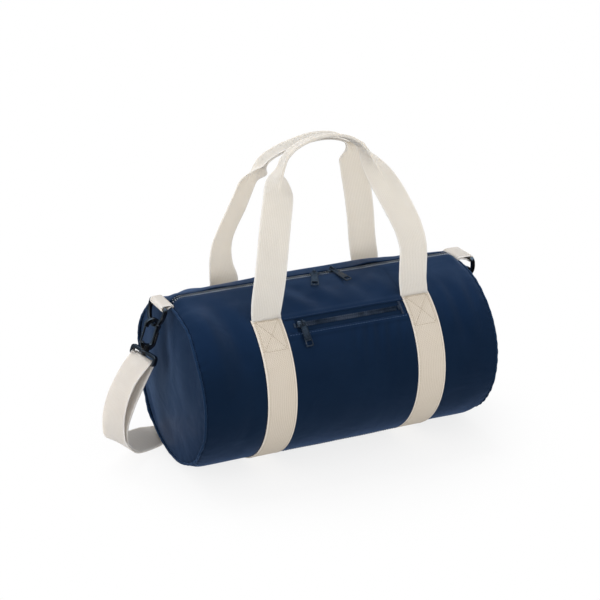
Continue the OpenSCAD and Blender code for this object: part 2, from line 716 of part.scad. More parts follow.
function route(shares, side) = [for (s = shares)
    [[side * (barrel_len / 2 + s[0] * web_w), s[1] * half_w, s[2] * bar_height + s[3] * web_t],
     s[4]]];

bar_leave_angle = -70;
strap_route = concat(wrap(-1, [bar_leave_angle]), route(left_route_shares, -1),
    route(right_route_shares, 1), wrap(1, [bar_leave_angle]));
wrap_angles = [80, 50, 20, -10, -40];
first_free = 1;
last_free = len(strap_route) - 2;

function strap_stations(us) = [for (u = us)
    [along([for (s = strap_route) s[0]], u), along([for (s = strap_route) s[1]], u)]];
split_u = 0.055;
fine = 1 / 3;
function span(from, to) =
    concat([from], [for (i = [floor(from / fine) + 1 : 1 : ceil(to / fine) - 1]) i * fine], [to]);

module left_strap_end() {
    color(cream) ribbon(concat(wrap(-1, wrap_angles), strap_stations(span(0, first_free - split_u))),
        web_w, web_t);
}
module right_strap_end() {
    color(cream) ribbon(concat(strap_stations(span(last_free + split_u, last_free + 1)),
        wrap(1, reversed(wrap_angles))), web_w, web_t);
}
module shoulder_strap() {
    color(cream) ribbon(strap_stations(span(first_free + split_u, last_free - split_u)), web_w, web_t);
}

// Second ply of the strap, from the left clip towards the adjuster
last_left = first_free + len(left_route_shares) - 1;
adjuster_y = strap_back_share * half_w;
module strap_return() {
    last = [[return_x, adjuster_y, ply_lift_share * web_t], [0, 1, 0]];
    color(cream) ribbon(concat(strap_stations(span(first_free + split_u, last_left)), [last]),
        web_w, web_t, -web_t - ply_gap);
}

// Adjuster: a frame with a middle bar, and the sewn end of the strap's second ply on it
bar_r = 1.6;
rail_w = 3.5;
rail_h = 5;
ply_top = 3 * web_t + run_gap + 2 * ply_gap;
end_loop_r = bar_r + run_gap / 2 + web_t;
adjuster_bar_z = web_t + run_gap + ply_gap + end_loop_r;
return_overlap = 8;
return_end_len = adjuster_x - return_x + adjuster_travel + return_overlap;
adjuster_bar_w = 3;

module strap_return_end() {
    color(cream) translate([adjuster_x, adjuster_y + web_w / 2, 0]) rotate([90, 0, 0])
        linear_extrude(web_w) difference() {
            union() {
                translate([0, adjuster_bar_z]) circle(end_loop_r, $fn = 48);
                translate([-return_end_len, ply_top - web_t]) square([return_end_len, web_t]);
            }
            translate([0, adjuster_bar_z]) circle(bar_r + run_gap / 2, $fn = 32);
        }
}

module strap_adjuster() {
    rail_z = adjuster_bar_z - rail_h / 2;
    half = web_w / 2 + 2 * run_gap;
    color(plastic) translate([adjuster_x, adjuster_y, 0]) {
        for (s = [-1, 1]) {
            translate([-adjuster_len / 2, s * (half + rail_w / 2) - rail_w / 2, rail_z])
                cube([adjuster_len, rail_w, rail_h]);
            translate([s * (adjuster_len / 2 - adjuster_bar_w / 2) - adjuster_bar_w / 2, -half - ply_gap,
                       ply_top + run_gap])
                cube([adjuster_bar_w, 2 * (half + ply_gap), rail_z + rail_h - ply_top - run_gap]);
        }
        translate([0, half + ply_gap, adjuster_bar_z]) rotate([90, 0, 0])
            cylinder(r = bar_r, h = 2 * (half + ply_gap), $fn = 32);
    }
}

barrel_panel();
front_yoke();
pocket_panel();
mirror([1, 0, 0]) end_panel();  // left_end_panel
end_panel();  // right_end_panel
mirror([1, 0, 0]) end_piping();  // left_end_piping
end_piping();  // right_end_piping
mirror([1, 0, 0]) seam_binding();  // left_seam_binding
seam_binding();  // right_seam_binding
main_tape();  // main_zip_front_tape
mirror([0, 1, 0]) main_tape();  // main_zip_back_tape
color(gunmetal) on_main_zip() tooth_row(main_zip_len, 0);  // main_zip_front_teeth
color(gunmetal) on_main_zip() mirror([0, 1, 0]) tooth_row(main_zip_len, tooth_pitch / 2);  // main_zip_back_teeth
at_left_slider() slider(1, left_puller_yaw);  // left_zip_slider
at_left_slider() puller(left_puller_yaw, main_puller_pitch, puller_len);  // left_zip_puller
at_right_slider() slider(-1, right_puller_yaw);  // right_zip_slider
at_right_slider() puller(right_puller_yaw, main_puller_pitch, puller_len);  // right_zip_puller
pocket_tape(pocket_top_angle - step / 4, pocket_zip_angle - tape_inner_angle);  // pocket_zip_upper_tape
pocket_tape(pocket_zip_angle + tape_inner_angle, pocket_low_angle + step / 4);  // pocket_zip_lower_tape
color(deep_navy) on_pocket_zip() mirror([0, 1, 0]) tooth_row(pocket_zip_len, tooth_pitch / 2);  // pocket_zip_upper_teeth
color(deep_navy) on_pocket_zip() tooth_row(pocket_zip_len, 0);  // pocket_zip_lower_teeth
pocket_zip_stops();
at_pocket_slider() slider(-1, pocket_puller_yaw);  // pocket_zip_slider
at_pocket_slider() puller(pocket_puller_yaw, pocket_puller_pitch, puller_len * pocket_puller_share);  // pocket_zip_puller
band(left_band_x);  // left_band
band(right_band_x);  // right_band
front_handle();
back_handle();
ring_tab(-1, left_tab_out);  // left_ring_tab
ring_tab(1, right_tab_out);  // right_ring_tab
at_clip(-1) d_ring();  // left_d_ring
at_clip(1) d_ring();  // right_d_ring
at_clip(-1) rotate([0, 0, left_hook_turn]) hook();  // left_snap_hook
at_clip(1) hook();  // right_snap_hook
at_clip(-1) rotate([0, 0, left_hook_turn]) gate();  // left_hook_gate
at_clip(1) gate();  // right_hook_gate
at_clip(-1) rotate([0, 0, left_loop_turn]) strap_loop();  // left_strap_loop
at_clip(1) strap_loop();  // right_strap_loop
left_strap_end();
right_strap_end();
shoulder_strap();
strap_return();
strap_return_end();
strap_adjuster();
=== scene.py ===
"""The looks of the barrel bag: sewn cloth, webbing, zips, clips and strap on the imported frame."""

import logging
import math
from collections.abc import Callable, Sequence
from dataclasses import dataclass, field
from enum import Enum

import bmesh
import bpy
import numpy as np
from mathutils import Matrix


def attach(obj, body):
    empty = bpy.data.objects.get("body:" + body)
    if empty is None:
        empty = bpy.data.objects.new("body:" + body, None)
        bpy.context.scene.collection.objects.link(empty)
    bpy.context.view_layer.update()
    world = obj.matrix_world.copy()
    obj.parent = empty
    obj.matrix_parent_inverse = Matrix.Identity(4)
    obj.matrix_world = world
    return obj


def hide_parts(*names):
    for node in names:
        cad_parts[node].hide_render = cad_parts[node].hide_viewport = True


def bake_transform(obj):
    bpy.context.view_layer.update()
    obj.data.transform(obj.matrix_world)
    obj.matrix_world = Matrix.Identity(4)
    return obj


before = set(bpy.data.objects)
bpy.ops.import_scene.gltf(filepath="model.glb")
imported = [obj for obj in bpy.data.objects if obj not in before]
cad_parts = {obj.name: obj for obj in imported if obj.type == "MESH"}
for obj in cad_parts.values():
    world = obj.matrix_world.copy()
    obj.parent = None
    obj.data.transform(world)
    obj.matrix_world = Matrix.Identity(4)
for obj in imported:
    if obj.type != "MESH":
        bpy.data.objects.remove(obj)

log = logging.getLogger("barrel_bag")
MM = 0.001
UV_NAME = "cloth_uv"
# Turns in degrees beyond which the edges of small, stamped and moulded pieces stay sharp
SMALL, STAMPED, MOULDED = 35.0, 50.0, 45.0
Array = np.ndarray
Place = Callable[[Array, Array, Array], Array]
Colour = tuple[float, float, float]


# Shapes


@dataclass(frozen=True)
class Form:
    """Points in millimetres, faces, and the flat place of each point on its cloth."""

    points: Array
    faces: list[Sequence[int]]
    flat: Array | None = None

    def moved(self, spot: Array) -> "Form":
        """Returns this form in the place that a 4x4 matrix gives, turned right side out."""
        points = self.points @ spot[:3, :3].T + spot[:3, 3]
        faces = self.faces
        if np.linalg.det(spot[:3, :3]) < 0:
            faces = [tuple(reversed(face)) for face in faces]
        return Form(points, faces, self.flat)


def unit(vectors: Array) -> Array:
    """The same directions, each one long."""
    return vectors / np.linalg.norm(vectors, axis=-1, keepdims=True)


def run_along(points: Array) -> Array:
    """Length of a line up to each of its points."""
    return np.concatenate([[0], np.cumsum(np.linalg.norm(np.diff(points, axis=0), axis=1))])


def sampled(wanted: Array, run: Array, values: Array) -> Array:
    """Rows of values at wanted lengths along a line."""
    return np.stack([np.interp(wanted, run, column) for column in values.T], 1)


def joined(forms: Sequence[Form]) -> Form:
    """Puts several forms into one.

    Args:
        forms: the forms, all with flat places or all without.

    Returns:
        One form that holds them all.
    """
    faces: list[Sequence[int]] = []
    start = 0
    for form in forms:
        faces += [tuple(int(i) + start for i in face) for face in form.faces]
        start += len(form.points)
    with_flat = all(form.flat is not None for form in forms)
    flat = np.concatenate([form.flat for form in forms]) if with_flat else None
    return Form(np.concatenate([form.points for form in forms]), faces, flat)


def grid_faces(index: Array, flip: bool) -> list[tuple[int, ...]]:
    """Four-sided faces over a grid of point numbers.

    Args:
        index: the point numbers, row by row.
        flip: whether the faces look the other way.

    Returns:
        The faces.
    """
    a, b = index[:-1, :-1].ravel(), index[1:, :-1].ravel()
    c, d = index[1:, 1:].ravel(), index[:-1, 1:].ravel()
    rows = np.stack([a, d, c, b] if flip else [a, b, c, d], axis=1)
    return [tuple(row) for row in rows.tolist()]


def ring_grid(rings: int, sides: int) -> Array:
    """Point numbers of rings of points, each ring closed by its own first point."""
    index = np.arange(rings * sides).reshape(rings, sides)
    return np.concatenate([index, index[:, :1]], 1)


def edge_run(low: float, high: float, pitch: float, edge: float) -> Array:
    """Places across a sheet, close together at its two rounded edges.

    Args:
        low: the first place.
        high: the last place.
        pitch: the spacing away from the edges.
        edge: how far the rounding reaches in.

    Returns:
        The places in rising order.
    """
    near = edge * np.array([0.0, 0.06, 0.22, 0.5, 0.78])
    count = max(3, round((high - low - 2 * edge) / pitch) + 1)
    return np.concatenate([low + near, np.linspace(low + edge, high - edge, count), (high - near)[::-1]])


def sewn_sheet(
    place: Place,
    us: Array,
    vs: Array,
    heights: tuple[float, float],
    edge: float,
    lift: Callable[[Array, Array], Array] | None = None,
) -> Form:
    """A closed sheet of cloth or webbing whose face and back meet in a round rim.

    Args:
        place: turns places along, places across and heights into points.
        us: places along the sheet.
        vs: places across it.
        heights: of its back and its face.
        edge: how far the rounding of the rim reaches in.
        lift: extra height of the face, such as at a hem.

    Returns:
        The sheet.
    """
    u, v = np.meshgrid(us, vs, indexing="ij")
    inward = np.minimum(np.minimum(u - us[0], us[-1] - u), np.minimum(v - vs[0], vs[-1] - v))
    swell = np.sqrt(1 - (1 - np.clip(inward / edge, 0, 1)) ** 2)
    middle, half = sum(heights) / 2, (heights[1] - heights[0]) / 2
    rise = half + (lift(u, v) if lift else 0)
    face = place(u.ravel(), v.ravel(), (middle + rise * swell).ravel())
    back = place(u.ravel(), v.ravel(), (middle - half * swell).ravel())
    rows, cols = u.shape
    top = np.arange(rows * cols).reshape(rows, cols)
    low = top.copy()
    low[1:-1, 1:-1] = rows * cols + np.arange((rows - 2) * (cols - 2)).reshape(rows - 2, cols - 2)
    inner = np.zeros((rows, cols), bool)
    inner[1:-1, 1:-1] = True
    points = np.concatenate([face, back[inner.ravel()]])
    flat = np.stack([v.ravel(), u.ravel()], 1)
    flat = np.concatenate([flat, flat[inner.ravel()]])
    i, j = rows // 2, cols // 2
    side = np.cross(face[top[i + 1, j]] - face[top[i, j]], face[top[i, j + 1]] - face[top[i, j]])
    flip = float(side @ (face[top[i, j]] - back[top[i, j]])) < 0
    return Form(points, grid_faces(top, flip) + grid_faces(low, not flip), flat)


def oval(wide: float, high: float, count: int = 20, square: float = 2.0) -> Array:
    """The outline of a rounded bar: an ellipse, or fuller where square is above 2."""
    t = np.linspace(0, 2 * math.pi, count, endpoint=False)
    c, s = np.cos(t), np.sin(t)
    return np.stack([
        wide / 2 * np.sign(c) * np.abs(c) ** (2 / square),
        high / 2 * np.sign(s) * np.abs(s) ** (2 / square),
    ], 1)


def sweep(path: Array, section: Array, up: Sequence[float], closed: bool, sizes: Array | None = None) -> Form:
    """A bar of one section along a path.

    Args:
        path: points in millimetres.
        section: its outline, across and up.
        up: the direction that the section's second axis keeps to.
        closed: whether the path joins its own start.
        sizes: how much of the section's size each point has.

    Returns:
        The bar, with closed ends.
    """
    count, sides = len(path), len(section)
    heading = unit(np.roll(path, -1, 0) - np.roll(path, 1, 0) if closed else np.gradient(path, axis=0))
    keep = np.asarray(up, float)
    raise_to = unit(keep - (heading @ keep)[:, None] * heading)
    across = np.cross(heading, raise_to)
    grow = np.ones(count) if sizes is None else sizes
    points = (
        path[:, None]
        + (section[None, :, :1] * across[:, None] + section[None, :, 1:] * raise_to[:, None])
        * grow[:, None, None]
    ).reshape(-1, 3)
    index = ring_grid(count, sides)
    if closed:
        index = np.concatenate([index, index[:1]], 0)
    faces: list[Sequence[int]] = list(grid_faces(index, False))
    if not closed:
        faces += [tuple(range(sides)), tuple(reversed(range((count - 1) * sides, count * sides)))]
    return Form(points, faces)


def turned(profile: Sequence[tuple[float, float]], sides: int = 32) -> Form:
    """A round piece turned about the Z axis.

    Args:
        profile: radius and height of each ring, from one end to the other.
        sides: points in a ring.

    Returns:
        The piece, with closed ends.
    """
    t = np.linspace(0, 2 * math.pi, sides, endpoint=False)
    points = np.concatenate([
        np.stack([r * np.cos(t), r * np.sin(t), np.full(sides, z)], 1) for r, z in profile
    ])
    index = ring_grid(len(profile), sides)
    up = profile[-1][1] > profile[0][1]
    faces: list[Sequence[int]] = list(grid_faces(index, up))
    first, last = tuple(range(sides)), tuple(range(len(points) - sides, len(points)))
    faces += [tuple(reversed(first)), last] if up else [first, tuple(reversed(last))]
    return Form(points, faces)


def plate(outline: Array, holes: Sequence[Array], thick: float, bevel: float) -> Form:
    """A flat plate with rounded edges, lying in X and Y about Z = 0.

    Args:
        outline: the points round its rim.
        holes: the points round each hole.
        thick: its thickness.
        bevel: how far its edges are rounded.

    Returns:
        The plate.
    """
    curve = bpy.data.curves.new("cutting_line", "CURVE")
    curve.dimensions, curve.fill_mode = "2D", "BOTH"
    curve.extrude, curve.bevel_depth = thick / 2 - bevel, bevel
    curve.offset, curve.bevel_resolution = -bevel, 2
    for loop in [outline, *holes]:
        spline = curve.splines.new("POLY")
        spline.points.add(len(loop) - 1)
        for point, (x, y) in zip(spline.points, loop):
            point.co = (x, y, 0, 1)
        spline.use_cyclic_u = True
    rough = bpy.data.objects.new("cutting_line", curve)
    bpy.context.scene.collection.objects.link(rough)
    bpy.context.view_layer.update()
    solid = rough.evaluated_get(bpy.context.evaluated_depsgraph_get())
    mesh = bpy.data.meshes.new_from_object(solid)
    skin = bmesh.new()
    skin.from_mesh(mesh)
    bmesh.ops.remove_doubles(skin, verts=skin.verts, dist=bevel * 0.02)
    bmesh.ops.recalc_face_normals(skin, faces=skin.faces)
    skin.to_mesh(mesh)
    skin.free()
    points = np.array([vertex.co[:] for vertex in mesh.vertices])
    faces = [tuple(polygon.vertices) for polygon in mesh.polygons]
    bpy.data.objects.remove(rough)
    bpy.data.curves.remove(curve)
    bpy.data.meshes.remove(mesh)
    return Form(points, faces)


def block(outline: Array, height: float, chamfer: float) -> Form:
    """A small upright block with chamfered upper edges, standing on Z = 0.

    Args:
        outline: the points round its foot.
        height: how high it stands.
        chamfer: how far its upper edges are cut back.

    Returns:
        The block.
    """
    middle = outline.mean(0)
    reach = np.abs(outline - middle).max(0)
    top = middle + (outline - middle) * (1 - chamfer / reach)
    count = len(outline)
    layers = [(outline, 0.0), (outline, height - chamfer), (top, height)]
    points = np.concatenate([np.column_stack([loop, np.full(count, z)]) for loop, z in layers])
    faces: list[Sequence[int]] = list(grid_faces(ring_grid(len(layers), count), True))
    return Form(points, faces + [tuple(reversed(range(count))), tuple(range(2 * count, 3 * count))])


def softened(corners: Sequence[tuple[float, float]], radius: float, steps: int = 5) -> Array:
    """A closed outline with its corners rounded.

    Args:
        corners: the corners in order.
        radius: how far from a corner the rounding starts, at most.
        steps: points in each rounding.

    Returns:
        The points of the rounded outline.
    """
    points = np.array(corners, float)
    rounded = []
    for before, corner, after in zip(np.roll(points, 1, 0), points, np.roll(points, -1, 0)):
        back, on = before - corner, after - corner
        a, b = np.linalg.norm(back), np.linalg.norm(on)
        start = corner + back * min(radius, a * 0.48) / a
        end = corner + on * min(radius, b * 0.48) / b
        for t in np.linspace(0, 1, steps):
            rounded.append((1 - t) ** 2 * start + 2 * t * (1 - t) * corner + t * t * end)
    return np.array(rounded)


def both_sides(half: Sequence[tuple[float, float]]) -> list[tuple[float, float]]:
    """A closed outline from its half below Y = 0, mirrored above it."""
    return [*half, *((x, -y) for x, y in reversed(half))]


def on_circle(radius: float, angles: Sequence[float], up: float = 0.0) -> list[tuple[float, float]]:
    """Points on a circle at angles in degrees, round a middle that is up by a height."""
    return [(radius * math.cos(math.radians(a)), up + radius * math.sin(math.radians(a))) for a in angles]


def arc(middle: tuple[float, float], radius: float, start: float, end: float, steps: int = 16) -> Array:
    """Points on an arc, with its angles in degrees."""
    t = np.radians(np.linspace(start, end, steps))
    return np.stack([middle[0] + radius * np.cos(t), middle[1] + radius * np.sin(t)], 1)


def smooth_line(points: Array, pitch: float) -> Array:
    """A smooth line through points of any width, sampled evenly.

    Args:
        points: the points, whose first three numbers are their place.
        pitch: the spacing wanted along the line.

    Returns:
        The samples, each as wide as a point.
    """
    pts = np.asarray(points, float)
    before = np.concatenate([[2 * pts[0] - pts[1]], pts[:-1]])
    after = np.concatenate([pts[1:], [2 * pts[-1] - pts[-2]]])
    fine = []
    for i in range(len(pts) - 1):
        a, b, c, d = before[i], pts[i], pts[i + 1], after[i + 1]
        t = np.linspace(0, 1, 24, endpoint=i == len(pts) - 2)[:, None]
        fine.append(0.5 * (
            2 * b + (c - a) * t + (2 * a - 5 * b + 4 * c - d) * t * t + (3 * b - a - 3 * c + d) * t ** 3
        ))
    line = np.concatenate(fine)
    run = run_along(line[:, :3])
    return sampled(np.linspace(0, run[-1], max(3, round(run[-1] / pitch) + 1)), run, line)


def closely_set(corners: Array, pitch: float = 2.5) -> Array:
    """A closed outline with points set along its long sides, about a pitch apart."""
    points = []
    for a, b in zip(corners, np.roll(corners, -1, 0)):
        steps = max(1, int(np.linalg.norm(b - a) // pitch))
        points += [a + (b - a) * k / steps for k in range(steps)]
    return np.array(points)


def shift(x: float, y: float, z: float) -> Array:
    """A 4x4 matrix that moves by x, y and z."""
    spot = np.eye(4)
    spot[:3, 3] = (x, y, z)
    return spot


def turn(axis: str, degrees: float) -> Array:
    """A 4x4 matrix that turns about the X, Y or Z axis."""
    return np.array(Matrix.Rotation(math.radians(degrees), 4, axis))


def flipped(axis: int) -> Array:
    """A 4x4 matrix that mirrors one axis."""
    spot = np.eye(4)
    spot[axis, axis] = -1
    return spot


class Slot(Enum):
    """The record's places for a finish."""

    BODY_CLOTH = "body_cloth"
    ZIP_TAPE = "zip_tape"
    ZIP_TEETH = "zip_teeth"
    ZIP_METAL = "zip_metal"
    WEBBING = "webbing"
    CLIP_PLASTIC = "clip_plastic"


def make_piece(
    name: str,
    form: Form,
    finish: "Finish",
    body: str | None,
    stands_for: Sequence[str] = (),
    crisp: float | None = None,
) -> bpy.types.Object:
    """Makes one piece of the bag from a form.

    Args:
        name: the piece's name.
        form: its shape.
        finish: its finish.
        body: what it rides on, or None where it bends between two bodies.
        stands_for: the frame's nodes that it replaces.
        crisp: the turn in degrees beyond which its edges stay sharp, if they do.

    Returns:
        The new object.
    """
    mesh = bpy.data.meshes.new(name)
    mesh.from_pydata((form.points * MM).tolist(), [], form.faces)
    if form.flat is not None:
        corners = np.zeros(len(mesh.loops), np.int32)
        mesh.loops.foreach_get("vertex_index", corners)
        layer = mesh.uv_layers.new(name=UV_NAME)
        layer.data.foreach_set("uv", (form.flat[corners] * MM).astype(np.float32).ravel())
    mesh.shade_smooth()
    if crisp is not None:
        mesh.set_sharp_from_angle(angle=math.radians(crisp))
    mesh.materials.append(finish.material)
    piece = bpy.data.objects.new(name, mesh)
    bpy.context.scene.collection.objects.link(piece)
    if body is not None:
        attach(piece, body)
    if stands_for:
        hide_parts(*stands_for)
    log.info("%s: %d points, %d faces", name, len(form.points), len(form.faces))
    return piece


# Finishes


@dataclass(frozen=True)
class Finish:
    """A material and the record's place for it."""

    material: bpy.types.Material
    slot: Slot


class Nodes:
    """Places and joins the shader nodes of one tree."""

    def __init__(self, tree: bpy.types.NodeTree) -> None:
        """Keeps the tree that nodes go into."""
        self.tree = tree

    def add(self, kind: str, sockets: dict | None = None, **settings: object) -> bpy.types.Node:
        """Adds a node.

        Args:
            kind: the node's kind, without its ShaderNode prefix.
            sockets: what each named or numbered input takes: a value or an output.
            settings: the node's own settings.

        Returns:
            The node.
        """
        node = self.tree.nodes.new("ShaderNode" + kind)
        for key, value in settings.items():
            setattr(node, key, value)
        self.fill(node, sockets or {})
        return node

    def fill(self, node: bpy.types.Node, sockets: dict) -> None:
        """Joins an output to each input that is given one, and sets the values of the others.

        Args:
            node: the node.
            sockets: what each input takes; a colour goes without its cover.
        """
        for key, value in sockets.items():
            socket = node.inputs[key]
            if isinstance(value, bpy.types.NodeSocket):
                self.tree.links.new(value, socket)
            else:
                socket.default_value = (*value, 1.0) if socket.type == "RGBA" else value

    def where(self) -> bpy.types.NodeSocket:
        """The place on the piece."""
        return self.add("TexCoord").outputs["Object"]

    def flat(self) -> bpy.types.Node:
        """The place on the flat cloth, with its X and Y apart."""
        return self.add("SeparateXYZ", {0: self.add("UVMap", uv_map=UV_NAME).outputs["UV"]})

    def math(self, operation: str, *values: object, clamp: bool = False) -> bpy.types.NodeSocket:
        """Does one sum on the values."""
        return self.add("Math", dict(enumerate(values)), operation=operation, use_clamp=clamp).outputs[0]

    def ramp(
        self, value: object, low: float, high: float, to: tuple[object, object] = (0.0, 1.0),
    ) -> bpy.types.NodeSocket:
        """Maps a value between two limits smoothly onto two others."""
        return self.add("MapRange", {
            "Value": value, "From Min": low, "From Max": high, "To Min": to[0], "To Max": to[1],
        }, interpolation_type="SMOOTHSTEP").outputs["Result"]

    def mix(self, share: object, a: object, b: object) -> bpy.types.NodeSocket:
        """Mixes two colours."""
        return self.add("Mix", {0: share, 6: a, 7: b}, data_type="RGBA").outputs[2]

    def between(self, share: object, a: object, b: object) -> bpy.types.NodeSocket:
        """Mixes two numbers."""
        return self.add("Mix", {0: share, 2: a, 3: b}).outputs[0]

    def noise(self, scale: object, detail: float, **more: float) -> bpy.types.NodeSocket:
        """Smooth noise over the piece."""
        values = {"Vector": self.where(), "Scale": scale, "Detail": detail, **more}
        return self.add("TexNoise", values).outputs["Fac"]

    def bump(self, height: object, distance: float, strength: float, **over: object) -> bpy.types.NodeSocket:
        """A normal that follows a height."""
        values = {"Height": height, "Distance": distance, "Strength": strength, **over}
        return self.add("Bump", values).outputs[0]


class Effect(Nodes):
    """A shader group in the making."""

    def __init__(self, name: str, takes: dict[str, object], gives: dict[str, str]) -> None:
        """Starts the group.

        Args:
            name: the group's name.
            takes: each input's name and its value at first.
            gives: each output's name and its kind of socket.
        """
        super().__init__(bpy.data.node_groups.new(name, "ShaderNodeTree"))
        sockets = self.tree.interface
        for label, value in takes.items():
            kind = "NodeSocketFloat" if isinstance(value, float) else "NodeSocketColor"
            sockets.new_socket(label, in_out="INPUT", socket_type=kind).default_value = value
        for label, kind in gives.items():
            sockets.new_socket(label, in_out="OUTPUT", socket_type=kind)
        self.takes = self.tree.nodes.new("NodeGroupInput").outputs
        self.gives = self.tree.nodes.new("NodeGroupOutput")


class SharedEffects:
    """The shader groups that several finishes share, each built once."""

    def __init__(self) -> None:
        """Builds every group."""
        self._build_tone()
        self._build_weave()
        self._build_wear_and_glint()
        self._build_touch()

    def _build_tone(self) -> None:
        """Uneven dye and soft hand creases."""
        group = Effect("cloth_tone", {
            "Colour": (0.5, 0.5, 0.5, 1.0), "Faded colour": (0.6, 0.6, 0.6, 1.0), "Patch size": 0.05,
            "Fading": 0.4, "Fleck": 0.1,
        }, {"Colour": "NodeSocketColor", "Height": "NodeSocketFloat"})
        takes = group.takes
        rate = group.math("DIVIDE", 1.0, takes["Patch size"])
        patches = group.noise(rate, 3.0, Roughness=0.55)
        fine = group.noise(900.0, 2.0)
        creases = group.noise(group.math("MULTIPLY", rate, 1.6), 2.0, Distortion=0.7)
        share = group.math("MULTIPLY", group.ramp(patches, 0.35, 0.7), takes["Fading"])
        fleck = group.math("MULTIPLY", group.math("SUBTRACT", fine, 0.5), takes["Fleck"])
        share = group.math("ADD", share, fleck, clamp=True)
        group.fill(group.gives, {
            "Colour": group.mix(share, takes["Colour"], takes["Faded colour"]),
            "Height": group.ramp(creases, 0.3, 0.75),
        })
        self.tone = group.tree

    def _build_weave(self) -> None:
        """Threads that cross: ribs along the cloth, and picks that may slant across them."""
        group = Effect(
            "weave", {"Rib width": 0.0012, "Pick length": 0.0012, "Slant": 0.0, "Pick share": 0.5},
            {"Height": "NodeSocketFloat", "Thread": "NodeSocketFloat"},
        )
        takes, flat = group.takes, group.flat()
        across = group.math("DIVIDE", flat.outputs["X"], takes["Rib width"])
        along = group.math("DIVIDE", flat.outputs["Y"], takes["Pick length"])
        slid = group.math("ADD", along, group.math("MULTIPLY", across, takes["Slant"]))
        rib, pick = (
            group.math("MULTIPLY_ADD", group.math("SINE", group.math("MULTIPLY", way, 2 * math.pi)), 0.5, 0.5)
            for way in (across, slid)
        )
        rib, pick = group.math("POWER", rib, 0.6), group.math("POWER", pick, 0.7)
        both = group.between(takes["Pick share"], rib, pick)
        group.fill(group.gives, {"Height": both, "Thread": group.ramp(both, 0.25, 0.75)})
        self.weave = group.tree

    def _build_wear_and_glint(self) -> None:
        """Where an edge is rubbed; on zip teeth the same mask places painted glints."""
        group = Effect("edge_wear_and_glint", {"Amount": 0.5, "Breakup": 400.0}, {"Mask": "NodeSocketFloat"})
        sharp = group.ramp(group.add("NewGeometry").outputs["Pointiness"], 0.515, 0.6)
        noise = group.noise(group.takes["Breakup"], 3.0)
        broken = group.math("MULTIPLY", sharp, group.ramp(noise, 0.3, 0.65))
        group.fill(group.gives, {"Mask": group.math("MULTIPLY", broken, group.takes["Amount"], clamp=True)})
        self.wear_and_glint = group.tree

    def _build_touch(self) -> None:
        """How smooth a surface is where it has been touched, and where it hasn't."""
        group = Effect(
            "handling", {"Smooth": 0.3, "Dull": 0.5, "Size": 0.02}, {"Roughness": "NodeSocketFloat"},
        )
        takes = group.takes
        share = group.ramp(group.noise(group.math("DIVIDE", 1.0, takes["Size"]), 3.0), 0.3, 0.7)
        group.fill(group.gives, {"Roughness": group.between(share, takes["Smooth"], takes["Dull"])})
        self.touch = group.tree


class Surface(Nodes):
    """A material in the making."""

    def __init__(self, name: str, fixed: dict[str, object], effects: SharedEffects | None = None) -> None:
        """Starts the material.

        Args:
            name: its name.
            fixed: the values that are the same all over, for the shader's own sockets.
            effects: the shared groups that it may place.
        """
        self.material = bpy.data.materials.new(name)
        self.material.use_nodes = True
        super().__init__(self.material.node_tree)
        self.effects, self.shader = effects, self.tree.nodes["Principled BSDF"]
        self.fill(self.shader, fixed)

    def toned(
        self, colour: object, faded: Colour, patch: float, fading: float, fleck: float,
    ) -> bpy.types.Node:
        """Places the cloth tone."""
        return self.add("Group", {
            "Colour": colour, "Faded colour": faded, "Patch size": patch, "Fading": fading, "Fleck": fleck,
        }, node_tree=self.effects.tone)

    def woven(self, rib: float, pick: float, slant: float, share: float) -> bpy.types.Node:
        """Places the weave."""
        return self.add("Group", {
            "Rib width": rib, "Pick length": pick, "Slant": slant, "Pick share": share,
        }, node_tree=self.effects.weave)

    def handled(self, limits: tuple[float, float], size: float) -> bpy.types.NodeSocket:
        """Places the roughness of a surface that is handled."""
        return self.add("Group", {
            "Smooth": limits[0], "Dull": limits[1], "Size": size,
        }, node_tree=self.effects.touch).outputs["Roughness"]

    def finished(self, slot: Slot, **last: object) -> Finish:
        """Joins the last outputs to the shader, an input's name being written with _ for a space."""
        self.fill(self.shader, {key.replace("_", " "): value for key, value in last.items()})
        return Finish(self.material, slot)


@dataclass(frozen=True)
class BodyCloth:
    """Smooth dyed body cloth with a fine plain weave."""

    name: str = "navy_body_cloth"
    colour: Colour = (0.0028, 0.0102, 0.0265)
    faded: Colour = (0.0040, 0.0134, 0.0335)
    thread: float = 0.0009
    relief: float = 0.00012
    roughness: tuple[float, float] = (0.40, 0.48)
    sheen: float = 0.24
    sheen_tint: Colour = (0.32, 0.52, 1.0)
    gloss_tint: Colour = (0.30, 0.50, 1.0)
    slack: float = 0.0009

    def build(self, effects: SharedEffects) -> Finish:
        """Makes the finish.

        Args:
            effects: the shared groups.

        Returns:
            The finish.
        """
        surface = Surface(self.name, {
            "Sheen Weight": self.sheen, "Sheen Roughness": 0.45, "Sheen Tint": self.sheen_tint,
            "Specular IOR Level": 0.20, "Specular Tint": self.gloss_tint,
        }, effects)
        tone = surface.toned(self.colour, self.faded, patch=0.07, fading=0.55, fleck=0.5)
        weave = surface.woven(self.thread, self.thread, slant=0.0, share=0.5)
        soft = surface.bump(tone.outputs["Height"], self.slack, 0.5)
        fine = surface.bump(weave.outputs["Height"], self.relief, 0.6, Normal=soft)
        rough = surface.handled(self.roughness, 0.03)
        colour = tone.outputs["Colour"]
        return surface.finished(Slot.BODY_CLOTH, Base_Color=colour, Roughness=rough, Normal=fine)


class WeaveKind(Enum):
    """Ways in which the webbing is woven, as rib width, pick length, slant and share of the picks."""

    RIBBED = (0.0021, 0.0016, 0.5, 0.4)
    TWILL = (0.0024, 0.0021, 1.0, 0.62)
    TAPE = (0.0010, 0.0012, 0.5, 0.5)


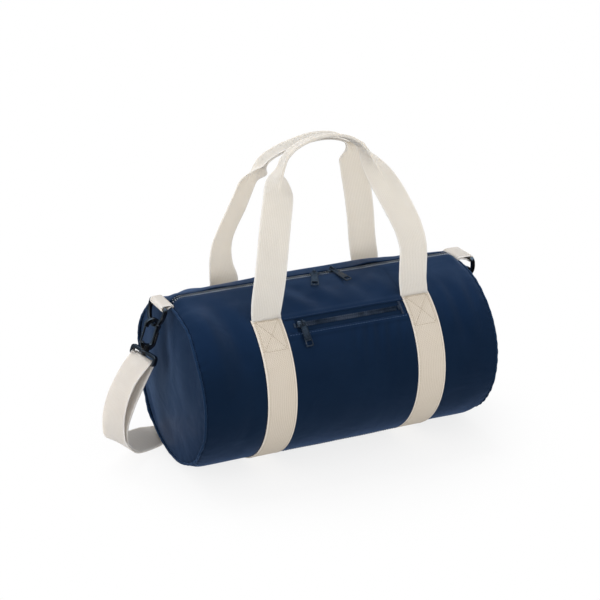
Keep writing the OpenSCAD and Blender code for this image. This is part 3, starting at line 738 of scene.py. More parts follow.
@dataclass(frozen=True)
class Webbing:
    """Cotton webbing or zip tape with smoother selvedges.

    Where through is above 0, that share of the light passes into the yarn and out again.
    """

    name: str
    kind: WeaveKind
    colour: Colour
    groove_shade: Colour
    selvedge: Colour
    half_width: float = 0.019
    selvedge_width: float = 0.0022
    relief: float = 0.00035
    sheen: float = 0.05
    through: float = 0.0
    through_reach: float = 0.012
    through_tint: Colour = (1.1, 1.0, 0.88)
    roughness: tuple[float, float] = (0.8, 0.92)
    slot: Slot = Slot.WEBBING

    def build(self, effects: SharedEffects) -> Finish:
        """Makes the finish.

        Args:
            effects: the shared groups.

        Returns:
            The finish.
        """
        surface = Surface(self.name, {
            "Subsurface Weight": self.through, "Subsurface Scale": self.through_reach,
            "Subsurface Radius": self.through_tint, "Sheen Weight": self.sheen, "Sheen Roughness": 0.6,
            "Specular IOR Level": 0.08,
        }, effects)
        edge = surface.ramp(
            surface.math("ABSOLUTE", surface.flat().outputs["X"]), self.half_width - self.selvedge_width,
            self.half_width - self.selvedge_width * 0.6,
        )
        weave = surface.woven(*self.kind.value)
        # Painted shade in the weave's grooves: the low threads take the darker groove colour.
        yarn = surface.mix(weave.outputs["Thread"], self.groove_shade, self.colour)
        darker = tuple(part * 0.88 for part in self.colour)
        colour = surface.mix(edge, yarn, self.selvedge)
        tone = surface.toned(colour, darker, patch=0.025, fading=0.35, fleck=0.45)
        height = surface.math("MULTIPLY", weave.outputs["Height"], surface.math("SUBTRACT", 1.0, edge))
        return surface.finished(
            self.slot, Base_Color=tone.outputs["Colour"], Roughness=surface.handled(self.roughness, 0.01),
            Normal=surface.bump(height, self.relief, 0.8),
        )


@dataclass(frozen=True)
class SewingThread:
    """Twisted sewing thread."""

    name: str
    colour: Colour
    shade: Colour
    slot: Slot = Slot.BODY_CLOTH

    def build(self, effects: SharedEffects) -> Finish:
        """Makes the finish.

        Args:
            effects: the shared groups.

        Returns:
            The finish.
        """
        surface = Surface(self.name, {"Roughness": 0.6, "Sheen Weight": 0.2}, effects)
        tone = surface.toned(self.colour, self.shade, patch=0.004, fading=0.7, fleck=0.4)
        bump = surface.bump(tone.outputs["Height"], 0.0001, 0.5)
        return surface.finished(self.slot, Base_Color=tone.outputs["Colour"], Normal=bump)


@dataclass(frozen=True)
class HardFinish:
    """Painted metal or moulded plastic whose edges are rubbed lighter; on zip teeth the lighter edges are
    painted glints.

    Where shaded_middle is above 0, the piece is darkened with painted shade, and some grime, up to that far
    from its own middle line, where the teeth mesh.
    """

    name: str
    colour: Colour
    rubbed_and_glint: Colour
    metallic: float
    roughness: tuple[float, float]
    wear_and_glint: float
    slot: Slot = Slot.ZIP_TEETH
    breakup: float = 500.0
    gloss: float = 0.5
    coat: float = 0.0
    shaded_middle: float = 0.0
    # Colour of the painted shade, with some grime, along the middle.
    dark: Colour = (0.006, 0.010, 0.018)
    grain: float = 0.00004

    def build(self, effects: SharedEffects) -> Finish:
        """Makes the finish.

        Args:
            effects: the shared groups.

        Returns:
            The finish.
        """
        surface = Surface(self.name, {
            "Metallic": self.metallic, "Specular IOR Level": self.gloss, "Coat Weight": self.coat,
            "Coat Roughness": 0.12, "Coat IOR": 2.0,
        }, effects)
        wear_and_glint = surface.add("Group", {"Amount": self.wear_and_glint, "Breakup": self.breakup}, node_tree=effects.wear_and_glint)
        # Rubbed edges turn lighter: edge wear, and on zip teeth painted glints.
        colour = surface.mix(wear_and_glint.outputs["Mask"], self.colour, self.rubbed_and_glint)
        # Painted shade with some grime: darker along the middle line, where the teeth mesh.
        if self.shaded_middle > 0:
            across = surface.math("ABSOLUTE", surface.add("SeparateXYZ", {0: surface.where()}).outputs["Y"])
            outside = surface.ramp(across, self.shaded_middle * 0.8, self.shaded_middle * 1.1)
            colour = surface.mix(outside, self.dark, colour)
        return surface.finished(
            self.slot, Base_Color=colour, Roughness=surface.handled(self.roughness, 0.006),
            Normal=surface.bump(surface.noise(2500.0, 1.0), self.grain, 0.4),
        )


@dataclass(frozen=True)
class Finishes:
    """Every finish of the bag."""

    cloth: Finish
    welt: Finish
    lining_tape: Finish
    zip_tape: Finish
    band: Finish
    handle: Finish
    strap: Finish
    cream_thread: Finish
    navy_thread: Finish
    pale_thread: Finish
    main_teeth: Finish
    pocket_teeth: Finish
    gunmetal: Finish
    plastic: Finish

    @classmethod
    def build(cls) -> "Finishes":
        """Makes all the finishes."""
        effects = SharedEffects()
        dark: Colour = (0.0030, 0.0070, 0.0180)
        recipes = {
            "cloth": BodyCloth(),
            # Painted highlight: the piping is of the body's own cloth, given a lighter navy for the light
            # along the seam's ridge.
            "welt": BodyCloth("navy_welt_cloth_painted_highlight", (0.0060, 0.0180, 0.0430), (0.0085, 0.0230, 0.0530)),
            "lining_tape": Webbing(
                "inside_binding_tape", WeaveKind.TAPE, dark, (0.002, 0.004, 0.010), dark, half_width=1.0,
                sheen=0.0, slot=Slot.BODY_CLOTH,
            ),
            # Painted light: the zip tape is a lighter navy than the body cloth to lift the shade that falls
            # on it in its recess.
            "zip_tape": Webbing(
                "navy_zip_tape_painted_light", WeaveKind.TAPE, (0.0060, 0.0175, 0.0430), (0.003, 0.010, 0.026), dark,
                half_width=1.0, relief=0.00018, sheen=0.0, slot=Slot.ZIP_TAPE,
            ),
            "band": Webbing(
                "cream_band_webbing", WeaveKind.TWILL, (0.665, 0.598, 0.512), (0.430, 0.364, 0.280),
                (0.690, 0.628, 0.554),
            ),
            "handle": Webbing(
                "cream_handle_webbing", WeaveKind.RIBBED, (0.705, 0.640, 0.562), (0.615, 0.548, 0.466),
                (0.728, 0.668, 0.592), relief=0.00025, through=0.7,
            ),
            "strap": Webbing(
                "cream_strap_webbing", WeaveKind.RIBBED, (0.665, 0.602, 0.542), (0.578, 0.510, 0.440),
                (0.695, 0.636, 0.580), relief=0.00025, through=0.7,
            ),
            "cream_thread": SewingThread(
                "cream_thread", (0.440, 0.365, 0.270), (0.340, 0.270, 0.195), Slot.WEBBING,
            ),
            "navy_thread": SewingThread("navy_thread", (0.010, 0.024, 0.056), (0.018, 0.036, 0.076)),
            "pale_thread": SewingThread("pale_blue_thread", (0.085, 0.135, 0.235), (0.055, 0.095, 0.180)),
            # The main zip's teeth are the same kind as the pocket zip's; their light grey colour and lighter
            # rubbed patches are painted glint, and their meshed middle is painted shade.
            "main_teeth": HardFinish(
                "zip_teeth_painted_glint", (0.38, 0.42, 0.48), (0.72, 0.77, 0.84), 0.2, (0.28, 0.42), 0.9,
                breakup=60.0, shaded_middle=0.0019,
            ),
            # Edge wear and painted glint: the lighter rubbed patches, broken up over about 16 mm, stand in
            # for glints along the pocket zip's teeth.
            "pocket_teeth": HardFinish(
                "dark_zip_teeth", (0.007, 0.014, 0.027), (0.07, 0.09, 0.13), 0.0, (0.34, 0.48), 0.9,
                breakup=60.0, gloss=0.35,
            ),
            "gunmetal": HardFinish(
                "gunmetal_zip_parts", (0.006, 0.011, 0.019), (0.15, 0.18, 0.23), 0.2, (0.22, 0.36), 0.75,
                Slot.ZIP_METAL,
            ),
            "plastic": HardFinish(
                "black_clip_plastic", (0.0016, 0.0016, 0.0019), (0.080, 0.080, 0.085), 0.0, (0.12, 0.22),
                0.55, Slot.CLIP_PLASTIC, gloss=1.0, coat=0.4,
            ),
        }
        return cls(**{name: recipe.build(effects) for name, recipe in recipes.items()})


# The stuffed barrel


@dataclass(frozen=True)
class Crease:
    """A soft ridge or valley in the cloth, along a straight run over the skin.

    Places are along the barrel and round it from the top, the front counted as positive.
    """

    start: tuple[float, float]
    end: tuple[float, float]
    width: float
    height: float

    def over(self, x: Array, around: Array) -> Array:
        """How much this crease raises each place.

        Args:
            x: places along.
            around: places round.

        Returns:
            The heights.
        """
        a, b = np.array(self.start), np.array(self.end)
        run = b - a
        length = np.linalg.norm(run)
        p = np.stack([x - a[0], around - a[1]], -1)
        t = (p @ run) / length ** 2
        off = np.abs(p @ np.array([-run[1], run[0]])) / length
        fade = np.clip(np.minimum(t + 0.15, 1.15 - t) / 0.4, 0, 1)
        fade = fade * fade * (3 - 2 * fade)
        return self.height * fade * np.exp(-((off / self.width) ** 2))


@dataclass(frozen=True)
class BagForm:
    """The form of the stuffed barrel, in millimetres and degrees."""

    barrel_len: float = 390.0
    half_w: float = 111.0
    half_h: float = 106.0
    axis_z: float = 105.0
    zip_ridge: float = 3.5
    ridge_angle: float = 16.0
    edge_roll: float = 14.0
    edge_drop: float = 5.5
    foot_lift: float = 5.0
    cloth_t: float = 1.6
    web_w: float = 38.0
    web_t: float = 1.8
    run_gap: float = 0.3
    band_ramp: float = 3.0
    left_band_x: float = -98.5
    right_band_x: float = 103.0
    slot_half: float = 4.6
    handle_angle: float = 33.8
    pocket_top_angle: float = 37.8
    pocket_gap: float = 18.0
    pocket_end_angle: float = 148.0
    foot_round: float = 0.9
    creases: tuple[Crease, ...] = (
        Crease((-66, 22), (-42, 60), 10.0, 2.0),
        Crease((-44, 20), (-18, 60), 10.0, -2.1),
        Crease((-20, 20), (4, 58), 10.0, 1.5),
        Crease((30, 22), (50, 60), 10.0, -1.8),
        Crease((60, 22), (76, 60), 10.0, 1.6),
        Crease((-174, 32), (-170, 150), 14.0, 4.6),
        Crease((-150, 26), (-134, 130), 13.0, -4.8),
        Crease((-150, -26), (-168, -130), 15.0, 2.7),
        Crease((-170, 150), (-136, 230), 13.0, 1.6),
        Crease((-124, 120), (-150, 240), 10.0, -1.4),
        Crease((140, 44), (142, 124), 6.0, 1.2),
        Crease((152, 54), (156, 134), 6.0, -1.5),
        Crease((167, 50), (170, 130), 7.0, 1.1),
        Crease((184, 22), (176, 96), 8.0, -1.8),
        Crease((150, 150), (176, 230), 12.0, 1.5),
        Crease((-192, -22), (-132, -118), 13.0, -2.6),
        Crease((192, -22), (136, -118), 13.0, -2.6),
        Crease((-60, -30), (-20, -120), 12.0, -1.2),
        Crease((70, -30), (20, -130), 12.0, -1.2),
        Crease((-20, -60), (-66, -170), 12.0, 1.2),
        Crease((40, -90), (76, -190), 13.0, 1.2),
        Crease((-60, 130), (10, 200), 14.0, 1.1),
    )
    sway_x: tuple[float, ...] = (
        -195, -182, -168, -150, -125, -88, -41, 26, 50, 66, 82, 103, 118, 152, 175, 195,
    )
    sway_up: tuple[float, ...] = (
        0.2, 0.2, 0.15, 0.2, 0.5, 0.6, 0.5, 0.2, -0.2, -0.1, 0.4, 0.5, 0.4, 0.1, 0.1, 0.1,
    )
    back_up: tuple[float, ...] = (
        0, 1.2, 1.2, 1.6, 3.0, 4.2, 5.6, 6.2, 6.4, 6.2, 5.6, 4.4, 3.0, 1.6, 0.8, 0,
    )

    @property
    def slot_angle(self) -> float:
        """Angle from the top to the edge of the zip's slot."""
        return math.degrees(math.asin(self.slot_half / self.half_w))

    @property
    def round_len(self) -> float:
        """Length once round the barrel, as the flat cloth is measured."""
        return 2 * math.pi * self.half_h

    @property
    def pocket_low_angle(self) -> float:
        """Angle from the top to the pocket's lower edge of the window."""
        return self.pocket_top_angle + self.angle(self.pocket_gap)

    @property
    def patch_edges(self) -> tuple[float, float]:
        """Places of the two side edges of the yoke and pocket."""
        reach = self.web_w / 2 + self.run_gap
        return self.left_band_x + reach, self.right_band_x - reach

    def angle(self, length: float) -> float:
        """Angle that a length takes round the barrel."""
        return math.degrees(length / self.half_h)

    def length(self, angle: float | Array) -> float | Array:
        """Length that an angle takes round the barrel."""
        return np.radians(angle) * self.half_h

    def roll(self, x: Array) -> Array:
        """Share by which the skin has turned in towards an end seam."""
        return (np.maximum(0, np.abs(x) - self.barrel_len / 2 + self.edge_roll) / self.edge_roll) ** 2

    def band_share(self, x: Array) -> Array:
        """One under a band, falling to nought beside it."""
        shares = [
            np.clip(1 - (np.abs(x - m) - self.web_w / 2 - self.run_gap) / self.band_ramp, 0, 1)
            for m in (self.left_band_x, self.right_band_x)
        ]
        return np.maximum(shares[0], shares[1])

    def skin(self, x: Array, angle: Array, up: Array) -> Array:
        """Points of the plain skin.

        Args:
            x: places along the barrel.
            angle: degrees from the top towards the front.
            up: heights above the outside of the cloth.

        Returns:
            The points.
        """
        a = np.radians(angle)
        near = np.clip(np.minimum(np.abs(angle), np.abs(360 - angle)) / self.ridge_angle, 0, 1)
        ridge = self.zip_ridge * (1 + np.cos(math.pi * near)) / 2
        roll = self.roll(x)
        lie = self.axis_z + (self.half_h + up + ridge * (1 - roll) - self.edge_drop * roll) * np.cos(a)
        foot = self.foot_lift * roll + self.web_t * self.band_share(x) - up
        rest = (lie + foot + np.sqrt((lie - foot) ** 2 + self.foot_round ** 2)) / 2
        return np.stack([x, -(self.half_w + up) * np.sin(a), rest], -1)

    def relief(self, x: Array, around: Array) -> Array:
        """How far folds, puckers and sag move the cloth out.

        Args:
            x: places along.
            around: lengths round from the top, the front counted as positive.

        Returns:
            The heights.
        """
        to_seam = self.barrel_len / 2 - np.abs(x)
        free = 1 - 0.75 * self.band_share(x)
        pucker = np.sin(2 * math.pi * around / 13.0 + 2.6 * np.sin(around / 21.0))
        rise = 0.32 * pucker * np.exp(-to_seam / 7.0)
        across = np.sin(x / 11.0 + 1.3 * np.sin(around / 37.0))
        rise += 0.22 * across * np.sin(around / 16.0 + 0.6 * np.sin(x / 29.0))
        rise += 0.35 * np.sin(x / 27.0 + 0.8) * np.sin(around / 33.0 + np.sin(x / 41.0))
        for crease in self.creases:
            rise += crease.over(x, around)
        ripple = np.cos(2 * math.pi * (x + 0.15 * (around - 100)) / 15.5)
        window = np.exp(-(((x - 38) / 36) ** 2)) * np.clip((around - 88) / 10, 0, 1)
        rise += 0.8 * ripple * window * np.exp(-np.maximum(0, around - 104) / 34)
        calm = np.clip((np.abs(around) - 6) / 16, 0, 1)
        return rise * free * calm * self.off_ground(around)

    def off_ground(self, around: Array) -> Array:
        """One on the sides, falling to nought at the foot that the bag rests on."""
        return np.clip((self.round_len / 2 - np.abs(around)) / 60 - 0.15, 0, 1)

    def zip_sway(self, x: Array) -> Array:
        """How far the zip wavers up from a straight line."""
        return np.interp(x, self.sway_x, self.sway_up)

    def seam_sway(self, x: Array, around: Array) -> tuple[Array, Array]:
        """How far an end seam wanders along the barrel and outwards.

        Args:
            x: places along.
            around: lengths round from the top, the front counted as positive.

        Returns:
            The two distances, which fade away from the seam.
        """
        fade = np.exp(-((self.barrel_len / 2 - np.abs(x)) / 22) ** 2)
        fade = fade * np.clip((np.abs(around) - 30) / 40, 0, 1)
        side = np.sign(x)
        fade *= 0.65 - 0.35 * side
        along = 0.9 * np.sin(around / 19 + 1.2 * side) + 0.5 * np.sin(around / 9.3 + 2 * np.sin(around / 40))
        out = 0.8 * np.sin(around / 26 + 0.7 * side) + 0.3 * np.sin(around / 12.7 + side)
        low = self.off_ground(around)
        return along * fade * low, out * fade * low

    def lip(self, x: Array, around: Array) -> Array:
        """How far the back lip of the slot stands away from the zip, where the zip gapes."""
        gape = 2.6 * np.exp(-(((x - 74) / 17) ** 2)) + 2.0 * np.exp(-(((x + 133) / 14) ** 2))
        gape += 1.0 * np.exp(-(((x - 150) / 16) ** 2))
        return gape * np.exp(-((around / 17) ** 2)) * (around < 0)

    def place(self, x: Array, length: Array, up: Array) -> Array:
        """Points of the real, creased skin.

        Args:
            x: places along the barrel.
            length: lengths round it from the top over the front.
            up: heights above the outside of the cloth.

        Returns:
            The points.
        """
        around = np.where(length > self.round_len / 2, length - self.round_len, length)
        along, out = self.seam_sway(x, around)
        points = self.skin(x, np.degrees(length / self.half_h), up + self.relief(x, around) + out)
        points[..., 0] += along
        lip = self.lip(x, around)
        behind = np.interp(x, self.sway_x, self.back_up) * np.exp(-(((around + 19) / 10) ** 2)) * (around < 0)
        points[..., 1] += lip
        points[..., 2] += 0.35 * lip + behind + self.zip_sway(x) * np.exp(-((around / 20) ** 2))
        return points

    def place_round(self, length: Array, x: Array, up: Array) -> Array:
        """Points of the creased skin, with the length round it first."""
        return self.place(x, length, up)


def thread_run(
    place: Place,
    corners: Sequence[tuple[float, float]],
    height: float,
    pitch: float = 3.3,
    length: float = 2.6,
    radius: float = 0.34,
) -> Form:
    """A row of stitches that lies on a sheet.

    Args:
        place: turns places along, places across and heights into points.
        corners: the row's corners, as places along and across.
        height: of the cloth under the thread.
        pitch: from the start of one stitch to the next.
        length: of one stitch.
        radius: of the thread.

    Returns:
        The stitches.
    """
    line = np.array(corners, float)
    run = run_along(line)
    count = max(1, int((run[-1] + pitch - length) // pitch))
    starts = (run[-1] - (count * pitch - pitch + length)) / 2 + pitch * np.arange(count)
    shares = np.array([0.0, 0.16, 0.5, 0.84, 1.0])
    s = starts[:, None] + shares * length
    u, v = np.interp(s, run, line[:, 0]), np.interp(s, run, line[:, 1])
    flat_height = np.full(u.size, height)
    base = place(u.ravel(), v.ravel(), flat_height).reshape(*u.shape, 3)
    out = unit(place(u.ravel(), v.ravel(), flat_height + 1).reshape(*u.shape, 3) - base)
    along = unit(base[:, -1:] - base[:, :1])
    side = np.cross(np.broadcast_to(along, base.shape), out)
    middle = base + out * (radius * np.array([-0.8, 0.25, 0.5, 0.25, -0.8]))[None, :, None]
    size = radius * np.array([0.5, 0.95, 1.0, 0.95, 0.5])
    sides = 6
    turns = np.linspace(0, 2 * math.pi, sides, endpoint=False)
    ring = np.cos(turns)[:, None] * side[:, :, None] + np.sin(turns)[:, None] * out[:, :, None]
    points = (middle[:, :, None] + ring * size[None, :, None, None]).reshape(-1, 3)
    faces: list[Sequence[int]] = []
    each = len(shares) * sides
    for first in range(0, count * each, each):
        faces += grid_faces(first + ring_grid(len(shares), sides), False)
        last = first + each - 1
        faces += [tuple(range(first, first + sides)), tuple(range(last, last - sides, -1))]
    return Form(points, faces)


def crossed_box(near: float, far: float, half: float) -> list[list[tuple[float, float]]]:
    """Lines of a sewn box with a cross in it, between two lengths and as far to each side."""
    a, b, c, d = (near, -half), (near, half), (far, half), (far, -half)
    return [[a, b, c, d, a], [a, c], [b, d]]


@dataclass
class Barrel:
    """The barrel cloth, its topstitching and its two ends."""

    form: BagForm
    finishes: Finishes
    stitch_in: float = 3.2

    def build(self) -> None:
        """Makes every piece of the barrel."""
        self._shell()
        for side, name in ((-1, "left"), (1, "right")):
            BarrelEnd(self.form, self.finishes, side, name).build()
        self._topstitch()

    def _shell(self) -> None:
        """The panel that is rolled into the round, with a folded lip along each side of the zip."""
        form = self.form
        half = form.barrel_len / 2
        first = form.length(form.slot_angle)
        hem_w, hem_fade, hem_up = 5.5, 1.5, 0.35

        def hem(x: Array, length: Array) -> Array:
            """Extra height of the turned-in lip."""
            near = np.minimum(length, form.round_len - length) - first
            return hem_up * np.clip(1 - (near - hem_w) / hem_fade, 0, 1)

        shell = sewn_sheet(
            form.place, edge_run(-half, half, 1.9, 0.8), edge_run(first, form.round_len - first, 2.7, 0.8),
            (-form.cloth_t, 0.0), 0.8, hem,
        )
        make_piece("barrel_cloth", shell, self.finishes.cloth, "bag", ["barrel_panel"])

    def _topstitch(self) -> None:
        """Thread along the lips of the zip."""
        form = self.form
        low, high = form.patch_edges
        half = form.barrel_len / 2 - 3
        front = form.length(form.slot_angle) + self.stitch_in
        rows = [
            thread_run(form.place_round, [(at, start), (at, end)], 0.3)
            for at, start, end in (
                (front, -half, low - form.web_w), (front, high + form.web_w, half),
                (form.round_len - front, -half, half),
            )
        ]
        make_piece("lip_topstitch", joined(rows), self.finishes.navy_thread, "bag")


@dataclass
class BarrelEnd:
    """One end of the barrel, with its panel, piping and inside tape; side is -1 left and 1 right."""

    form: BagForm
    finishes: Finishes
    side: int
    name: str
    dome: float = 8.0
    piping_r: float = 1.6
    ply_gap: float = 0.1
    binding_w: float = 7.0
    binding_in: float = 2.6
    binding_open: float = 10.9
    turns: int = 168
    piping_turns: int = 320
    folds: tuple[Crease, ...] = (
        Crease((20, 192), (-8, 128), 15.0, -2.6), Crease((-44, 176), (-60, 104), 20.0, 1.6),
        Crease((52, 170), (44, 70), 20.0, 1.6), Crease((28, 58), (-44, 34), 15.0, -1.2),
        Crease((84, 70), (52, 18), 12.0, -1.4),
    )

    def build(self) -> None:
        """Makes the pieces of the end."""
        self._panel()
        self._piping()
        self._binding()

    def _rim(self, turns: int, up: float) -> Array:
        """Points round the end seam, at a height above the outside of the cloth."""
        angle = np.linspace(0, 360, turns, endpoint=False)
        x = np.full(turns, self.side * self.form.barrel_len / 2)
        return self.form.place(x, self.form.length(angle), np.full(turns, up))

    def _dent(self, y: Array, z: Array) -> Array:
        """How far folds move the panel out.

        Args:
            y: places across the end.
            z: heights.

        Returns:
            The distances.
        """
        rise = 0.45 * np.sin(y / 25 + 0.8 * np.sin(z / 37)) * np.sin(z / 33 + 1.1)
        for fold in self.folds:
            rise += fold.over(y if self.side < 0 else -y + 6, z)
        return rise

    def _panel(self) -> None:
        """A round panel that bulges and sags softly."""
        form, side, turns = self.form, self.side, self.turns
        rim = self._rim(turns, -form.cloth_t - self.ply_gap)
        angle = np.radians(np.linspace(0, 360, turns, endpoint=False))
        wave = 0.22 * np.sin(angle * 43 + 4 * np.sin(3 * angle))
        shares = np.concatenate([np.linspace(0.006, 0.86, 30), np.linspace(0.88, 1, 8)])
        layers = []
        for inward in (0.0, form.cloth_t):
            for share in shares:
                y, z = share * rim[:, 1], form.axis_z + share * (rim[:, 2] - form.axis_z)
                fade = np.clip((1 - share) / 0.14, 0, 1)
                pucker = wave * math.exp(-(1 - share) * 14) * (share < 0.995)
                x = self.dome * (1 - share ** 2) + self._dent(y, z) * fade + pucker - inward
                layers.append(np.stack([side * (form.barrel_len / 2 + x), y, z], 1))
        rows = len(shares)
        ring = ring_grid(2 * rows, turns)
        around = np.concatenate([ring[:rows], ring[rows:][::-1]], 0)
        faces: list[Sequence[int]] = list(grid_faces(around, side < 0))
        first, last = tuple(ring[0, :-1]), tuple(ring[rows, :-1])
        faces += [tuple(reversed(first)), last] if side < 0 else [first, tuple(reversed(last))]
        points = np.concatenate(layers)
        make_piece(f"{self.name}_end_cloth", Form(points, faces, points[:, 1:]), self.finishes.cloth, "bag",
                   [f"{self.name}_end_panel"])

    def _piping(self) -> None:
        """The corded welt along the seam, a little uneven where the cloth is gathered."""
        turns, sides = self.piping_turns, 14
        line = self._rim(turns, -self.piping_r / 2) + [self.side * self.piping_r, 0, 0]
        angle = np.linspace(0, 2 * math.pi, turns, endpoint=False)
        sizes = 1 + 0.05 * np.sin(angle * 53) + 0.04 * np.sin(angle * 31 + 1)
        welt = sweep(line, oval(2 * self.piping_r, 2 * self.piping_r, sides), (1, 0, 0), True, sizes)
        flat = np.stack([
            np.tile(np.linspace(0, 10, sides), turns),
            np.repeat(np.linspace(0, self.form.round_len, turns), sides),
        ], 1)
        make_piece(f"{self.name}_end_welt", Form(welt.points, welt.faces, flat), self.finishes.welt, "bag",
                   [f"{self.name}_end_piping"])

    def _binding(self) -> None:
        """The tape that binds the seam inside."""
        form = self.form
        outer = form.barrel_len / 2 - self.binding_in
        ends = sorted((self.side * outer, self.side * (outer - self.binding_w)))
        high = -form.cloth_t - self.ply_gap
        start = form.length(self.binding_open)
        tape = sewn_sheet(
            form.place, edge_run(*ends, 1.5, 0.5), edge_run(start, form.round_len - start, 4.0, 0.5),
            (high - 1.0, high), 0.5,
        )
        make_piece(f"{self.name}_inside_binding", tape, self.finishes.lining_tape, "bag",
                   [f"{self.name}_seam_binding"])


# Zips


@dataclass(frozen=True)
class ZipSizes:
    """Sizes that the main zip and the pocket zip share."""

    pitch: float = 2.5
    tooth_w: float = 1.0
    tooth_t: float = 1.75
    out: float = 2.9
    root: float = 1.4
    tip: float = 0.9
    tape_w: float = 14.0
    tape_t: float = 0.6
    slider_len: float = 11.5
    nose_w: float = 9.4
    tail_w: float = 7.6
    wing_low: float = 2.15
    wing_t: float = 1.3
    bridge_len: float = 7.0
    bridge_w: float = 1.8
    bridge_h: float = 5.1
    eye_z: float = 6.05
    puller_len: float = 33.0
    puller_w: float = 10.0
    puller_t: float = 1.8


@dataclass
class ZipMaker:
    """Makes teeth, sliders and pullers."""

    finishes: Finishes
    sizes: ZipSizes = field(default_factory=ZipSizes)

    def tooth(self) -> Form:
        """One tooth: a high shoulder on its tape at -Y and a lower head over the middle."""
        s = self.sizes
        half = s.tooth_w / 2
        shoulder = np.array([(-half, -s.out), (half, -s.out), (half * 1.1, -s.root), (-half * 1.1, -s.root)])
        head = np.array([
            (-half * 0.7, -s.root - 0.2), (half * 0.7, -s.root - 0.2), (half * 0.55, -0.3),
            (half * 0.95, 0.2), (half * 0.8, s.tip), (-half * 0.8, s.tip), (-half * 0.95, 0.2),
            (-half * 0.55, -0.3),
        ])
        return joined([block(shoulder, s.tooth_t, 0.3), block(head, s.tooth_t * 0.36, 0.2)])

    def row(self, xs: Array, zs: Array, slopes: Array, back: bool) -> Form:
        """One row of teeth.

        Args:
            xs: the place of each tooth along the zip.
            zs: the height of its tape.
            slopes: how the tape falls there, in degrees.
            back: whether the row is on the +Y side.

        Returns:
            The teeth.
        """
        tooth = self.tooth()
        if back:
            tooth = tooth.moved(flipped(1))
        spots = [shift(x, 0, z) @ turn("Y", -slope) for x, z, slope in zip(xs, zs, slopes)]
        return joined([tooth.moved(spot) for spot in spots])

    def slider(self, name: str, spot: Array, nose: int, yaw: float, body: str, node: str) -> None:
        """A slider: a wing with flanges over the teeth and an arched bridge.

        Args:
            name: of the slider.
            spot: its place, as a 4x4 matrix.
            nose: 1 where its wide end points along +X, else -1.
            yaw: turn of its bridge.
            body: what it rides on.
            node: the frame's node that it stands for.
        """
        s = self.sizes
        half, nose_half, tail, top = s.slider_len / 2, s.nose_w / 2, s.tail_w / 2, s.wing_low + s.wing_t - 0.3
        outline = softened(both_sides([
            (-half, -tail + 1.3), (-half * 0.7, -tail), (0, -tail), (half * 0.5, -nose_half),
            (half * 0.9, -nose_half * 0.8), (half, -nose_half * 0.4),
        ]), 1.4, 4)
        wing = plate(outline, [], s.wing_t, 0.45).moved(shift(0, 0, s.wing_low + s.wing_t / 2))
        rib = block(softened(both_sides([(-half * 0.5, -0.9), (half * 0.55, -1.5)]), 0.8, 3), 0.7, 0.35)
        parts = [wing, rib.moved(shift(0, 0, top))]
        flange = softened([(-half * 0.5, 0), (half * 0.5, 0), (half * 0.62, 2.4), (-half * 0.6, 2.4)], 0.7, 3)
        for edge in (-1, 1):
            place = shift(0, edge * (s.out + 0.8), 0.2) @ turn("X", 90)
            parts.append(plate(flange, [], 1.0, 0.3).moved(place))
        turned_parts = [part.moved(np.diag([nose, 1.0, 1.0, 1.0])) for part in parts]
        b, h = s.bridge_len / 2 - 0.65, s.bridge_h - 0.35
        arch = smooth_line(np.array([
            (x * b, 0, top + h * z) for x, z in (
                (-1, 0), (-1, 0.45), (-0.82, 0.86), (-0.45, 1), (0.45, 1), (0.82, 0.86), (1, 0.45), (1, 0),
            )
        ]), 0.35)
        bridge = sweep(arch, oval(s.bridge_w, 1.3, 14, 3.2), (0, 1, 0), False).moved(turn("Z", yaw))
        whole = joined([*turned_parts, bridge]).moved(spot)
        make_piece(name, whole, self.finishes.gunmetal, body, [node], STAMPED)

    def puller(
        self, name: str, spot: Array, yaw: float, pitch: float, length: float, body: str, node: str,
    ) -> None:
        """A puller: a widening tab with an eye at one end and a slot at the other.

        Args:
            name: of the puller.
            spot: its slider's place, as a 4x4 matrix.
            yaw: its turn.
            pitch: how far it dips.
            length: from its eye to its tip.
            body: what it rides on.
            node: the frame's node that it stands for.
        """
        s = self.sizes
        root, tip = s.puller_w * 0.4, s.puller_w / 2
        outline = softened(both_sides([(-0.65, -3.0), (4.6, -3.3), (6.6, -root), (length, -tip)]), 1.5, 5)
        eye = softened(both_sides([(0.65, -2), (4.55, -2)]), 0.8, 4)
        low, high, wide, edge = length - 7.4, length - 1.7, tip - 1.4, 0.45
        slot = softened(both_sides([(low, -wide), (high, -wide)]), 1.7, 6)
        tab = plate(outline, [eye, slot], s.puller_t * 0.84, 0.4)
        rim = softened(both_sides([(low - edge, -wide - edge), (high + edge, -wide - edge)]), 2.2, 6)
        path = np.column_stack([rim, np.zeros(len(rim))])
        raised = sweep(path, oval(0.8, s.puller_t, 10, 2.6), (0, 0, 1), True)
        middle = softened(both_sides([(7.6, -root + 1.2), (low - 2.4, -root + 0.9)]), 1.2, 4)
        panel = plate(middle, [], s.puller_t, 0.25)
        tilt = shift(0, 0, s.eye_z) @ turn("Z", yaw) @ turn("Y", pitch)
        whole = joined([tab, raised, panel]).moved(spot @ tilt)
        make_piece(name, whole, self.finishes.gunmetal, body, [node], STAMPED)


